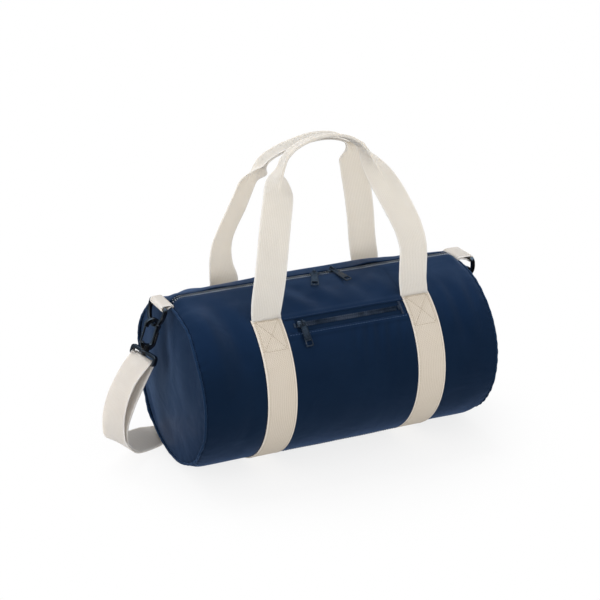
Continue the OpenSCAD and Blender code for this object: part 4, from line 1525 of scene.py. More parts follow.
@dataclass
class MainZip:
    """The zip along the top of the barrel, with its two sliders."""

    form: BagForm
    finishes: Finishes
    maker: ZipMaker
    length: float = 356.0
    left_x: float = -4.0
    right_x: float = 20.0
    left_yaw: float = -114.0
    right_yaw: float = -74.0
    pitch: float = 11.0

    @property
    def level(self) -> float:
        """Height of the zip's own frame."""
        form = self.form
        return form.axis_z + form.half_h + form.zip_ridge - form.cloth_t - form.run_gap + 0.1

    def _height(self, x: Array) -> Array:
        """Height of the teeth's foot along the barrel, down to the end seams."""
        form = self.form
        top = form.skin(x, np.zeros_like(x), np.zeros_like(x))[..., 2]
        return np.minimum(self.level, top - form.cloth_t - form.run_gap + 0.1) + form.zip_sway(x)

    def build(self) -> None:
        """Makes the tapes, the teeth, the sliders and the pullers."""
        form, s = self.form, self.maker.sizes
        half = form.barrel_len / 2 - 1.6
        tape_low = -form.cloth_t - form.run_gap - s.tape_t
        for back, name in ((False, "front"), (True, "back")):
            xs = edge_run(-half, half, 2.5, 0.25)
            rounds = edge_run(1.1, 1.1 + s.tape_w, 1.2, 0.25)

            def place(x: Array, length: Array, up: Array, back: bool = back) -> Array:
                """Points of a tape, mirrored for the back one."""
                points = form.skin(x, np.degrees(length / form.half_h), up)
                points[..., 1] *= -1 if back else 1
                points[..., 2] += form.zip_sway(x) * np.exp(-((length / 20) ** 2))
                return points

            tape = sewn_sheet(place, xs, rounds, (tape_low, tape_low + s.tape_t), 0.25)
            make_piece(f"main_zip_{name}_cloth_tape", tape, self.finishes.zip_tape, "bag",
                       [f"main_zip_{name}_tape"])
            count = int((2 * half - 2) // s.pitch)
            teeth_x = -count * s.pitch / 2 + s.pitch * (np.arange(count) + (0.5 if back else 0.0)) + 0.6
            heights = self._height(teeth_x)
            slopes = np.degrees(np.arctan(self._height(teeth_x + 0.5) - self._height(teeth_x - 0.5)))
            row = self.maker.row(teeth_x, heights, slopes, back)
            make_piece(f"main_zip_{name}_tooth_row", row, self.finishes.main_teeth, "bag",
                       [f"main_zip_{name}_teeth"], SMALL)
        for name, x, nose, yaw in (
            ("left", self.left_x, 1, self.left_yaw), ("right", self.right_x, -1, self.right_yaw),
        ):
            spot = shift(x, 0, self.level)
            self.maker.slider(f"{name}_slider_body", spot, nose, yaw, f"{name}_slider", f"{name}_zip_slider")
            self.maker.puller(f"{name}_puller_tab", spot, yaw, self.pitch, s.puller_len, f"{name}_puller",
                              f"{name}_zip_puller")


@dataclass
class FrontPocket:
    """The yoke, the pocket cloth and the pocket zip between them."""

    form: BagForm
    finishes: Finishes
    maker: ZipMaker
    patch_t: float = 0.8
    yoke_set_angle: float = 1.2
    zip_len: float = 138.0
    stop_w: float = 2.0
    stop_t: float = 1.6
    puller_yaw: float = -86.0
    puller_pitch: float = 13.0
    puller_len: float = 30.36

    @property
    def zip_x(self) -> float:
        """Middle of the pocket zip along the barrel."""
        return sum(self.form.patch_edges) / 2 + 1.5

    @property
    def zip_angle(self) -> float:
        """Angle from the top to the middle of the pocket zip."""
        return (self.form.pocket_top_angle + self.form.pocket_low_angle) / 2

    def spot(self) -> Array:
        """The pocket zip's own frame, as a 4x4 matrix."""
        form = self.form
        up = 0.2 + self.maker.sizes.tape_t + 0.1
        at = form.skin(np.array(self.zip_x), np.array(self.zip_angle), np.array(up))
        a = math.radians(self.zip_angle)
        lean = math.degrees(math.atan2(form.half_h * math.sin(a), form.half_w * math.cos(a)))
        return shift(*at) @ turn("X", lean)

    def build(self) -> None:
        """Makes the cloth, the tapes, the teeth, the slider and the puller."""
        self._cloth()
        self._zip()

    def _cloth(self) -> None:
        """The yoke and pocket cloth with their hems and topstitching."""
        form = self.form
        low, high = form.patch_edges
        xs = edge_run(low, high, 1.9, 0.4)
        heights = (form.web_t - self.patch_t, form.web_t)
        yoke = form.length(form.slot_angle + self.yoke_set_angle)
        window_top, window_low = form.length(form.pocket_top_angle), form.length(form.pocket_low_angle)
        pocket_end = form.length(form.pocket_end_angle)
        for name, node, first, last, window in (
            ("yoke_cloth", "front_yoke", yoke, window_top, window_top),
            ("pocket_cloth", "pocket_panel", window_low, pocket_end, window_low),
        ):

            def hem(x: Array, length: Array, window: float = window) -> Array:
                """Extra height of the turned edge beside the window."""
                return 0.6 * np.clip(1 - (np.abs(length - window) - 6.5) / 1.6, 0, 1)

            rounds = edge_run(first, last, 1.9, 0.4)
            sheet = sewn_sheet(form.place, xs, rounds, heights, 0.4, hem)
            make_piece(name, sheet, self.finishes.cloth, "bag", [node])
        cover = sewn_sheet(
            form.place, edge_run(low, self.zip_x - self.zip_len / 2 + 1.2, 1.9, 0.4),
            edge_run(window_top + 0.3, window_low - 0.3, 1.9, 0.4),
            (form.web_t - 0.95, form.web_t - 0.25), 0.3,
        )
        make_piece("pocket_zip_end_cover", cover, self.finishes.cloth, "bag")
        for name, thread, pitch, length, lines in (
            ("pocket_topstitch", self.finishes.navy_thread, 3.3, 2.4,
             (yoke + 2.6, window_top - 1.9, pocket_end - 3.0)),
            ("pocket_edge_stitch", self.finishes.pale_thread, 3.6, 2.0, (window_low + 2.2,)),
        ):
            rows = [
                thread_run(form.place_round, [(at, low + 2), (at, high - 2)], form.web_t + 0.35, pitch,
                           length) for at in lines
            ]
            make_piece(name, joined(rows), thread, "bag")

    def _zip(self) -> None:
        """The tapes, teeth, stops, slider and puller of the pocket."""
        form, s, spot = self.form, self.maker.sizes, self.spot()
        half = self.zip_len / 2
        edges = (self.zip_x - half - self.stop_w, self.zip_x + half + self.stop_w)
        middle = form.length(self.zip_angle)
        window_top, window_low = form.length(form.pocket_top_angle), form.length(form.pocket_low_angle)
        for name, start, end in (
            ("upper", window_top - 2.8, middle - 1.1), ("lower", middle + 1.1, window_low + 2.8),
        ):
            xs, rounds = edge_run(*edges, 2.5, 0.25), edge_run(start, end, 1.0, 0.25)
            tape = sewn_sheet(form.place, xs, rounds, (0.2, 0.2 + s.tape_t), 0.25)
            make_piece(f"pocket_zip_{name}_cloth_tape", tape, self.finishes.zip_tape, "bag",
                       [f"pocket_zip_{name}_tape"])
            back = name == "upper"
            count = int(self.zip_len // s.pitch) - 1
            xs = -half + s.pitch * (np.arange(count) + (1.3 if back else 0.8))
            row = self.maker.row(xs, np.zeros(count), np.zeros(count), back).moved(spot)
            make_piece(f"pocket_zip_{name}_tooth_row", row, self.finishes.pocket_teeth, "bag",
                       [f"pocket_zip_{name}_teeth"], SMALL)
        w = self.stop_w / 2
        stop = block(softened(both_sides([(-w, -s.out), (w, -s.out)]), 0.6, 3), self.stop_t, 0.4)
        stops = joined([stop.moved(spot @ shift(side * (half + w), 0, 0)) for side in (-1, 1)])
        make_piece("pocket_zip_end_stops", stops, self.finishes.pocket_teeth, "bag",
                   ["pocket_zip_stops"], SMALL)
        tacks = joined([
            thread_run(form.place_round, [(window_top - 0.5, x), (window_low + 0.5, x)], 1.2, 2.2, 2.1, 0.5)
            for x in edges[1] + 2.5 + np.array([-1.0, 0.0, 1.0])
        ])
        make_piece("pocket_end_bar_tacks", tacks, self.finishes.navy_thread, "bag")
        x = -half + s.slider_len / 2 + self.stop_w
        at = spot @ shift(x, 0, 0)
        self.maker.slider("pocket_slider_body", at, -1, self.puller_yaw, "pocket_slider", "pocket_zip_slider")
        self.maker.puller("pocket_puller_tab", at, self.puller_yaw, self.puller_pitch, self.puller_len,
                          "pocket_puller", "pocket_zip_puller")


# Webbing


@dataclass
class Ribbon:
    """A strip of webbing along a smooth line, which may be folded lengthwise.

    Each control row holds the middle, the direction of the width and the fold from 0 to 1.
    """

    rows: Array
    width: float = 38.0
    fold_r: float = 1.1
    fold_shift: float = 0.0

    def __post_init__(self) -> None:
        """Samples the line and its frame."""
        line = smooth_line(self.rows, 1.2)
        middle, across, fold = line[:, :3], line[:, 3:6], np.clip(line[:, 6], 0, 1)
        self.run = run_along(middle)
        heading = unit(np.gradient(middle, axis=0))
        across = unit(across - (across * heading).sum(1, keepdims=True) * heading)
        self.middle, self.across, self.fold = middle, across, fold
        self.face = np.cross(across, heading)

    @property
    def length(self) -> float:
        """Length of the strip's middle."""
        return float(self.run[-1])

    def place(self, s: Array, w: Array, up: Array) -> Array:
        """Points of the strip.

        Args:
            s: lengths along it.
            w: places across it from its middle.
            up: heights above its middle layer.

        Returns:
            The points.
        """
        middle, across, face = (sampled(s, self.run, rows) for rows in (self.middle, self.across, self.face))
        fold = np.interp(s, self.run, self.fold)
        theta = fold * math.pi / 2
        reach = np.abs(w)
        bent = np.minimum(reach / self.fold_r, theta)
        rest = np.maximum(0, reach - self.fold_r * theta)
        side = np.sign(w)
        a = side * (self.fold_r * np.sin(bent) + rest * np.cos(theta))
        d = self.fold_r * (1 - np.cos(bent)) + rest * np.sin(theta) + self.fold_shift * fold
        out_a, out_f = side * np.sin(bent), np.cos(bent)
        return middle + (a + up * out_a)[:, None] * across + (up * out_f - d)[:, None] * face

    def sheet(self, thick: float, pitch: float, lift: Callable[[Array, Array], Array] | None = None) -> Form:
        """The strip as a closed sheet.

        Args:
            thick: its thickness.
            pitch: spacing of points along it.
            lift: extra height of its face.

        Returns:
            The sheet.
        """
        half = self.width / 2
        us = edge_run(0, self.length, pitch, 0.8)
        near = np.concatenate([edge_run(-half, half, 1.7, 0.8), np.linspace(-3.2, 3.2, 13)])
        return sewn_sheet(self.place, us, np.unique(near.round(3)), (-thick / 2, thick / 2), 0.8, lift)


@dataclass
class Band:
    """A webbing band sewn round the barrel."""

    form: BagForm
    finishes: Finishes
    name: str
    middle: float
    edge_in: float = 2.6
    box_len: float = 42.0

    def build(self) -> None:
        """Makes the band and its stitching."""
        form = self.form
        half = form.web_w / 2
        start = form.length(form.handle_angle)

        def place(length: Array, across: Array, up: Array) -> Array:
            """Points of the band from a length round the barrel and a place across the webbing."""
            return form.place(self.middle + across, length, up)

        us, vs = edge_run(start, form.round_len - start, 1.8, 0.7), edge_run(-half, half, 1.7, 0.8)
        sheet = sewn_sheet(place, us, vs, (0.1, form.web_t), 0.7)
        make_piece(f"{self.name}_webbing", sheet, self.finishes.band, "bag", [self.name])
        edge, end = half - self.edge_in, form.round_len - start
        rows = [
            thread_run(place, [(start + 3, across), (end - 3, across)], form.web_t - 0.12, radius=0.3)
            for across in (-edge, edge)
        ]
        for near, far in ((start + 4.0, start + self.box_len), (end - 4.0, end - self.box_len)):
            for line in crossed_box(near, far, edge - 1.6):
                rows.append(thread_run(place, line, form.web_t - 0.1, radius=0.36))
        make_piece(f"{self.name}_stitching", joined(rows), self.finishes.cream_thread, "bag")


@dataclass
class CarryHandle:
    """A carry handle: webbing that leaves its band, folds to a grip and comes back down.

    Rows are across in shares of half the distance of the bands, up in shares of the rise, fold, and
    twist in degrees.
    """

    form: BagForm
    finishes: Finishes
    name: str
    rows: tuple[tuple[float, float, float, float], ...]
    back: bool
    rise: float = 208.0
    lean: float = 44.0
    grip_inset: float = 6.0
    hinge_share: float = 1.5

    @property
    def hinge(self) -> tuple[float, float]:
        """Depth and height of the line that the handle bends about."""
        form = self.form
        a = math.radians(form.handle_angle)
        out = self.hinge_share * form.web_t
        return -(form.half_w + out) * math.sin(a), form.axis_z + (form.half_h + out) * math.cos(a)

    def _control_rows(self) -> Array:
        """Rows of middle, width direction and fold, from one seam to the other."""
        form = self.form
        lean = math.asin(self.lean / self.rise)
        depth = np.array([0, math.cos(lean), -math.sin(lean)])
        upright = np.array([0, math.sin(lean), math.cos(lean)])
        hinge_y, hinge_z = self.hinge
        half = (form.right_band_x - form.left_band_x) / 2
        middle = (form.right_band_x + form.left_band_x) / 2
        shares = np.array(self.rows)
        xs = middle + half * shares[:, 0]
        zs = np.maximum(1.2, self.rise * shares[:, 1])
        fold = shares[:, 2]
        local = np.stack([xs, (self.grip_inset - 9.5) * fold, zs], 1)
        heading = np.gradient(local, axis=0)
        heading[:, 1] = 0
        heading[0], heading[-1] = (0, 0, 1), (0, 0, -1)
        heading = unit(heading)
        twist = np.radians(shares[:, 3:])
        plane = np.cross([0, 1, 0], heading) * np.cos(twist) + np.array([0, 1, 0]) * np.sin(twist)
        place = np.array([0, hinge_y, hinge_z])

        def in_bag(v: Array) -> Array:
            """A direction or place of the handle's plane in the bag's frame."""
            return v[:, :1] * [1, 0, 0] + v[:, 1:2] * depth + v[:, 2:] * upright

        rows = [np.column_stack([place + in_bag(local), in_bag(plane), fold])[1:-1]]
        foot_angles = np.array([form.handle_angle + 4.2, form.handle_angle + 2.6, form.handle_angle + 1.0])
        foot_up = np.array([0.55, 0.75, 1.35])
        for end, x, across in ((0, xs[0], 1.0), (1, xs[-1], -1.0)):
            foot = form.skin(np.full(3, x), foot_angles, foot_up)
            stand = place + in_bag(np.array([[x, 0.0, 4.5]]))
            points = np.concatenate([foot, stand])
            if end:
                points = points[::-1]
            block_rows = np.column_stack([points, np.tile([across, 0, 0], (4, 1)), np.zeros(4)])
            rows = [block_rows, *rows] if end == 0 else [*rows, block_rows]
        return np.concatenate(rows)

    def build(self) -> None:
        """Makes the handle and its seams, which bend where they are sewn down."""
        rows = self._control_rows()
        if self.back:
            rows = rows * np.array([1, -1, 1, 1, -1, 1, 1])
            rows[:, 3:6] *= -1
        ribbon = Ribbon(rows)
        sheet = ribbon.sheet(self.form.web_t, 2.2)
        body = self.name
        piece = make_piece(f"{body}_webbing", sheet, self.finishes.handle, None, [body])
        y, z = self.hinge
        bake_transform(piece)
        half = self.form.web_w / 2 - 3
        seams = [
            thread_run(ribbon.place, [(s, -half), (s, half)], self.form.web_t / 2 - 0.05, 3.0, 2.3, 0.4)
            for s in (3.4, 5.2, ribbon.length - 3.4, ribbon.length - 5.2)
        ]
        make_piece(f"{self.name}_seam_rows", joined(seams), self.finishes.cream_thread, "bag")


# Clips


@dataclass
class Clip:
    """One end of the bag: tab, ring, snap hook, gate and strap loop."""

    form: BagForm
    finishes: Finishes
    name: str
    side: int
    tab_out: float
    slant: float
    hook_turn: float
    loop_turn: float
    tab_back: float = 8.0
    wire_r: float = 2.4
    ring_depth: float = 26.0
    ring_r: float = 22.8
    hook_in_r: float = 4.8
    hook_out_r: float = 10.2
    hook_len: float = 23.0
    hook_t: float = 6.5
    hook_z: float = -27.7
    hook_end_z: float = -57.7
    loop_top_z: float = -59.2
    loop_bar_z: float = -70.7
    loop_half: float = 21.5
    loop_bar_r: float = 2.2

    @property
    def origin(self) -> tuple[float, float, float]:
        """Middle of the ring's straight bar."""
        form = self.form
        return (
            self.side * (form.barrel_len / 2 + self.tab_out), self.tab_back,
            form.axis_z + form.half_h - form.edge_drop,
        )

    @property
    def ring_spot(self) -> Array:
        """The ring's own frame, outside along -X and down along -Z."""
        spot = shift(*self.origin)
        if self.side > 0:
            spot = spot @ flipped(0)
        return spot @ turn("Y", self.slant)

    @property
    def hook_spot(self) -> Array:
        """The hook's own frame, turned about the line of the clip."""
        return self.ring_spot @ turn("Z", self.hook_turn)

    @property
    def loop_spot(self) -> Array:
        """The strap frame's own frame, turned about the same line by its swivel."""
        return self.ring_spot @ turn("Z", self.loop_turn)

    def point(self, local: Sequence[float]) -> Array:
        """A point of the strap frame in the bag's frame."""
        return (self.loop_spot @ np.array([*local, 1.0]))[:3]

    def direction(self, local: Sequence[float]) -> Array:
        """A direction of the strap frame in the bag's frame."""
        return self.loop_spot[:3, :3] @ np.array(local, float)

    def build(self) -> None:
        """Makes every piece of the clip."""
        self._tab()
        self._ring()
        self._hook()
        self._gate()
        self._loop()

    def _plastic(self, name: str, form: Form, body: str, node: str) -> None:
        """Makes one moulded piece, which rides on a body and stands for a node of the frame."""
        make_piece(f"{self.name}_{name}", form, self.finishes.plastic, f"{self.name}_{body}",
                   [f"{self.name}_{node}"], MOULDED)

    def _tab(self) -> None:
        """The webbing tab: out of the seam, round the ring's bar and back, sewn through."""
        form, out = self.form, self.tab_out
        r = self.wire_r + form.run_gap + form.web_t / 2
        line = [
            (out + 1.4, -3.2), (out + 0.5, -0.6), (out - 1.4, 1.4), (out * 0.62 + 1.6, 1.6),
            *on_circle(r, range(-25, -264, -17)),
            (0.6, r), (out * 0.5, r + 0.15), (out - 2.0, r - 0.1), (out + 0.1, r - 1.7), (out + 0.9, r - 4.6),
        ]
        rows = np.array([[-x * self.side, 0, z, 0, 1, 0, 0] for x, z in line])
        ribbon = Ribbon(rows + np.array([*self.origin, 0, 0, 0, 0]))
        make_piece(f"{self.name}_tab_webbing", ribbon.sheet(form.web_t, 0.9), self.finishes.strap, "bag",
                   [f"{self.name}_ring_tab"])

    def _ring(self) -> None:
        """The moulded D-ring, with a squared section."""
        bow = self.ring_r - self.ring_depth
        right = [(self.ring_r, z) for z in np.linspace(-2.4, bow, 4)]
        curve = arc((0, bow), self.ring_r, 0, -180, 40)[1:-1]
        left = [(-y, z) for y, z in right[::-1]]
        corner = [(-self.ring_r + 0.7, -0.7), (-self.ring_r + 2.4, 0.0)]
        bar = [(y, 0.0) for y in np.linspace(-self.ring_r + 4, self.ring_r - 4, 12)]
        other = [(self.ring_r - 2.4, 0.0), (self.ring_r - 0.7, -0.7)]
        path = np.array([*right, *curve.tolist(), *left, *corner, *bar, *other])
        points = np.column_stack([np.zeros(len(path)), path])
        waist = np.where(path[:, 1] < bow, 1 - 0.16 * np.exp(-((path[:, 0] / 8) ** 2)), 1.0)
        ring = sweep(points, oval(2 * self.wire_r, 2 * self.wire_r, 28, 6.0), (1, 0, 0), True, waist)
        self._plastic("ring", ring.moved(self.ring_spot), "ring", "d_ring")

    def _hook(self) -> None:
        """The snap hook: a thick spine, a nose over the gate and a ribbed neck."""
        out, inner, z, base = self.hook_out_r, self.hook_in_r, self.hook_z, self.hook_end_z
        foot = z - self.hook_len
        top_gap, low_gap = z - 2.5, foot + 2.0
        outline = np.concatenate([
            softened([
                (-out + 0.4, low_gap), (-out, foot + 0.6), (-6.9, base + 1.6), (-5.4, base), (5.4, base),
                (6.9, base + 1.6), (out - 0.2, foot), (out, z - 6),
            ], 2.0, 4)[4:],
            arc((0, z), out, 0, 180, 22),
            softened([
                (-out, top_gap + 1.5), (-out + 0.5, top_gap), (-inner - 0.7, top_gap),
                (-inner, top_gap + 1.2),
            ], 0.8, 3)[1:-1],
            arc((0, z), inner, 180, 0, 16),
            softened([
                (inner, z - 4), (inner, foot + 2), (inner - 2, foot), (-inner + 1.6, foot),
                (-inner, foot + 1.4), (-inner, low_gap),
            ], 1.6, 4)[2:-2],
        ])
        body = plate(outline, [], self.hook_t, 1.3).moved(turn("X", 90))
        ribs: list[tuple[float, float]] = [(3.4, foot - 1.4)]
        top, level, end, count = self.loop_top_z, foot - 1.8, self.loop_top_z + 0.2, 5
        for k in range(count):
            a, b = level + (end - level) * k / count, level + (end - level) * (k + 1) / count
            ribs += [(4.4, a), (4.9, a * 0.7 + b * 0.3), (4.9, a * 0.4 + b * 0.6), (4.3, b)]
        stud = [(3.6, end - 0.1), (2.6, end - 0.2), (2.6, top - 5.0), (3.7, top - 5.1), (3.9, top - 5.9)]
        neck = turned([*ribs, *stud, (3.4, top - 6.3)])
        ridge = sweep(
            np.array([(7.6, 0, z - 2), (7.6, 0, z - 8), (7.6, 0, foot + 4), (7.2, 0, foot)]),
            oval(self.hook_t + 0.7, 3.4, 14, 2.6), (1, 0, 0), False, np.array([0.7, 1, 1, 0.7]),
        )
        form = joined([body, neck, ridge]).moved(self.hook_spot)
        self._plastic("hook_body", form, "hook", "snap_hook")

    def _gate(self) -> None:
        """The sprung gate, a thin bar with a thumb ridge."""
        x = -self.hook_out_r + 1.1 + 0.3
        low = self.hook_z - self.hook_len + 3.4
        high = self.hook_z - 2.8
        middle = (low + high) / 2
        line = smooth_line(np.array([
            (x, 0, low - 0.9), (x - 0.1, 0, low + 1.5), (x + 0.15, 0, middle), (x, 0, high - 1.5),
            (x + 0.1, 0, high),
        ]), 0.8)
        bar = sweep(line, oval(4.6, 1.7, 20, 5.0), (1, 0, 0), False)
        ridge = np.array([(x - 1.0, y, middle) for y in (-2.0, -1.6, 1.6, 2.0)])
        thumb = sweep(ridge, oval(0.9, 1.6, 10), (0, 0, 1), False, np.array([0.5, 1, 1, 0.5]))
        form = joined([bar, thumb]).moved(self.hook_spot)
        self._plastic("gate_bar", form, "gate", "hook_gate")

    def _loop(self) -> None:
        """The frame that the strap is wrapped round, with a boss for the swivel."""
        y, top, low = self.loop_half, self.loop_top_z, self.loop_bar_z
        path = closely_set(softened([(-y, low), (-y, top - 2.0), (y, top - 2.0), (y, low)], 3.0, 6))
        points = np.column_stack([np.zeros(len(path)), path])
        up_side, at_side = (path[:, 1] - low) / 3.0, (np.abs(path[:, 0]) - y + 3.0) / 2.0
        off_bar = np.clip(up_side, 0, 1) + np.clip(at_side, 0, 1)
        sizes = 0.9 + 0.12 * np.clip(off_bar, 0, 1)
        ring = sweep(points, oval(4.4, 5.0, 28, 6.0), (1, 0, 0), True, sizes)
        boss = turned([
            (2.9, top - 4.3), (4.4, top - 4.2), (4.9, top - 3.7), (4.9, top - 0.5), (4.4, top),
            (3.0, top + 0.1),
        ])
        form = joined([ring, boss]).moved(self.loop_spot)
        self._plastic("strap_frame", form, "ring", "strap_loop")


@dataclass
class ShoulderStrap:
    """The shoulder strap with its second ply and its adjuster.

    Each route row is out from the end seam in webbing widths, back in half barrels, up in heights of
    the frame's bar, up in webbing thicknesses, and the direction of the width.
    """

    form: BagForm
    finishes: Finishes
    left: Clip
    right: Clip
    ply_gap: float = 0.1
    adjuster_x: float = 30.0
    adjuster_y: float = 75.48
    adjuster_bar_z: float = 5.75
    return_x: float = -34.0
    return_end_len: float = 112.0
    split_x: float = 4.0
    hang_z: tuple[float, ...] = (30, 45, 62, 80, 98, 112, 124, 134)
    hang_in: tuple[float, ...] = (0, 1.5, 4.5, 8.5, 11.0, 9.5, 5.0, 0)
    left_rows: tuple[tuple[float, ...], ...] = (
        (1.37, 0.09, 0.866, 0, -0.27, 0.96, 0.07), (1.7, 0.09, 0.7, 0, -0.34, 0.94, 0),
        (1.88, 0.095, 0.54, 0, -0.39, 0.92, 0), (1.93, 0.1, 0.4, 0, -0.43, 0.9, -0.04),
        (1.86, 0.115, 0.27, 0, -0.4, 0.91, -0.1), (1.5, 0.171, 0.178, 0, -0.28, 0.94, 0.2),
        (1.04, 0.315, 0.119, 0, -0.35, 0.85, 0.37), (0.39, 0.495, 0.066, 0, -0.27, 0.9, 0.34),
        (0.02, 0.588, 0.041, 0, -0.36, 0.91, 0.2), (-0.65, 0.66, 0.007, 0.6, -0.1, 1, 0.03),
        (-1.2, 0.68, 0, 0.6, 0, 1, 0), (-1.8, 0.68, 0, 0.6, 0, 1, 0), (-2.8, 0.68, 0, 0.6, 0, 1, 0),
    )
    right_rows: tuple[tuple[float, ...], ...] = (
        (-3.6, 0.68, 0, 0.6, 0, 1, 0), (-2.2, 0.68, 0, 0.6, 0, 1, 0), (-1.3, 0.68, 0, 0.6, 0, 1, 0),
        (-0.6, 0.665, 0.003, 0.6, 0.06, 1, 0.01), (0.1, 0.61, 0.015, 0.6, 0.25, 0.96, 0.03),
        (0.66, 0.49, 0.035, 0.6, 0.5, 0.85, 0.1), (1.05, 0.34, 0.09, 0.6, 0.34, 0.94, 0.03),
        (1.24, 0.215, 0.23, 0, 0.21, 0.98, 0), (1.29, 0.125, 0.41, 0, 0.1, 0.99, 0),
        (1.22, 0.085, 0.6, 0, 0.05, 1, 0), (1.1, 0.077, 0.75, 0, 0, 1, 0), (0.92, 0.073, 0.865, 0, 0, 1, 0),
    )

    def _wrap(self, clip: Clip, angles: Sequence[float]) -> Array:
        """Rows round the bar of a clip's strap frame.

        Args:
            clip: the clip.
            angles: places round the bar, from its inner side over its top.

        Returns:
            The rows.
        """
        r = clip.loop_bar_r + self.form.run_gap + self.form.web_t / 2
        across = clip.direction((0, 1, 0))
        rows = []
        for a in np.radians(angles):
            at = clip.point((r * math.sin(a), 0, clip.loop_bar_z + r * math.cos(a)))
            rows.append([*at, *across, 0])
        return np.array(rows)

    def _route(self, rows: Sequence[Sequence[float]], side: int) -> Array:
        """Rows of the free strap.

        Args:
            rows: the route as shares.
            side: -1 for the left end and 1 for the right.

        Returns:
            The rows in millimetres.
        """
        form = self.form
        height = self.left.point((0, 0, self.left.loop_bar_z))[2]
        half = form.barrel_len / 2
        return np.array([
            [side * (half + out * form.web_w), back * form.half_w, up * height + plies * form.web_t,
             *across, 0] for out, back, up, plies, *across in rows
        ])

    def _on_ground(self, x: float) -> list[list[float]]:
        """One row where the strap lies on the ground behind the bag."""
        return [[x, self.adjuster_y, 0.6 * self.form.web_t, 0, 1, 0, 0]]

    def _second_ply(self, rows: Array) -> Array:
        """The same rows, lifted by one ply to the inner side of the strap."""
        ribbon = Ribbon(rows)
        lengths = np.linspace(0, ribbon.length, round(ribbon.length / 12))
        lift = -self.form.web_t - self.ply_gap
        points = ribbon.place(lengths, np.zeros_like(lengths), np.full_like(lengths, lift))
        return np.column_stack([points, sampled(lengths, ribbon.run, ribbon.across), np.zeros(len(lengths))])

    def build(self) -> None:
        """Makes the left and right runs of the strap, the adjuster and the sewn end."""
        self._left_run()
        self._right_run()
        self._adjuster()
        self._sewn_end()

    def _left_run(self) -> None:
        """From under the adjuster along the ground, up inside, over the left bar and down outside."""
        form = self.form
        free = self._route(self.left_rows, -1)
        inner = self._second_ply(np.concatenate([free, self._on_ground(self.return_x)]))
        hang = np.interp(inner[:, 2], self.hang_z, self.hang_in)
        inner[:, 0] += hang * (inner[:, 0] < -form.barrel_len / 2)
        wrap = self._wrap(self.left, [92, 62, 32, 2, -28, -70])
        rows = np.concatenate([inner[2:][::-1], wrap, free, self._on_ground(self.split_x)])
        piece = make_piece("strap_left_run", Ribbon(rows).sheet(form.web_t, 1.9), self.finishes.strap, None,
                           ["left_strap_end", "shoulder_strap", "strap_return"])
        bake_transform(piece)

    def _right_run(self) -> None:
        """From the split along the ground and up over the right bar, where its end is sewn down."""
        free = self._route(self.right_rows, 1)
        tail = self._second_ply(free)[-5:-1]
        wrap = self._wrap(self.right, [-70, -40, -10, 20, 50, 80])
        rows = np.concatenate([self._on_ground(self.split_x), free, wrap, tail[::-1]])
        sheet = Ribbon(rows).sheet(self.form.web_t, 1.9)
        piece = make_piece("strap_right_run", sheet, self.finishes.strap, None, ["right_strap_end"])
        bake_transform(piece)

    def _adjuster(self) -> None:
        """The three-bar slide."""
        half_x, half_y, rise = 11.4, 21.3, 0.55
        path = closely_set(softened(both_sides([(-half_x, -half_y), (half_x, -half_y)]), 3.5, 6))
        path = np.column_stack([path, np.full(len(path), 0.9)])
        ring = sweep(path, oval(3.2, 2.9, 20, 3.0), (0, 0, 1), True)
        line = np.array([(0, y, -rise) for y in (-half_y, -half_y + 2, half_y - 2, half_y)])
        bar = sweep(line, oval(3.2, 3.2, 16), (0, 0, 1), False)
        whole = joined([ring, bar]).moved(shift(self.adjuster_x, self.adjuster_y, self.adjuster_bar_z + rise))
        make_piece("adjuster_slide", whole, self.finishes.plastic, "adjuster", ["strap_adjuster"], MOULDED)

    def _sewn_end(self) -> None:
        """The sewn end of the second ply, wrapped round the middle bar of the adjuster."""
        form = self.form
        z, r, low = self.adjuster_bar_z, 1.75 + form.web_t / 2, 5.0
        line = [
            (-self.return_end_len, low), (-80, low), (-40, low), (-14, low - 0.1), (-5, low - 0.9),
            (-1.2, z - r + 0.1), *on_circle(r, (-60, -30, 0, 30, 60, 90), z),
            (-3.2, z + r - 0.35), (-9, low + 1.95), (-20, low + 1.9), (-34, low + 1.9),
        ]
        rows = np.array([[x, 0, height, 0, 1, 0, 0] for x, height in line])
        ribbon = Ribbon(rows + np.array([self.adjuster_x, self.adjuster_y, 0, 0, 0, 0, 0]))
        make_piece("strap_sewn_end", ribbon.sheet(form.web_t, 1.9), self.finishes.strap, "adjuster",
                   ["strap_return_end"])
        far = ribbon.length
        height = (form.web_t / 2 - 0.05) * (1.0 if ribbon.face[-1][2] > 0 else -1.0)
        stitches = [thread_run(ribbon.place, line, height) for line in crossed_box(far - 4, far - 19, 14)]
        make_piece("strap_end_stitching", joined(stitches), self.finishes.cream_thread, "adjuster")


# Studio


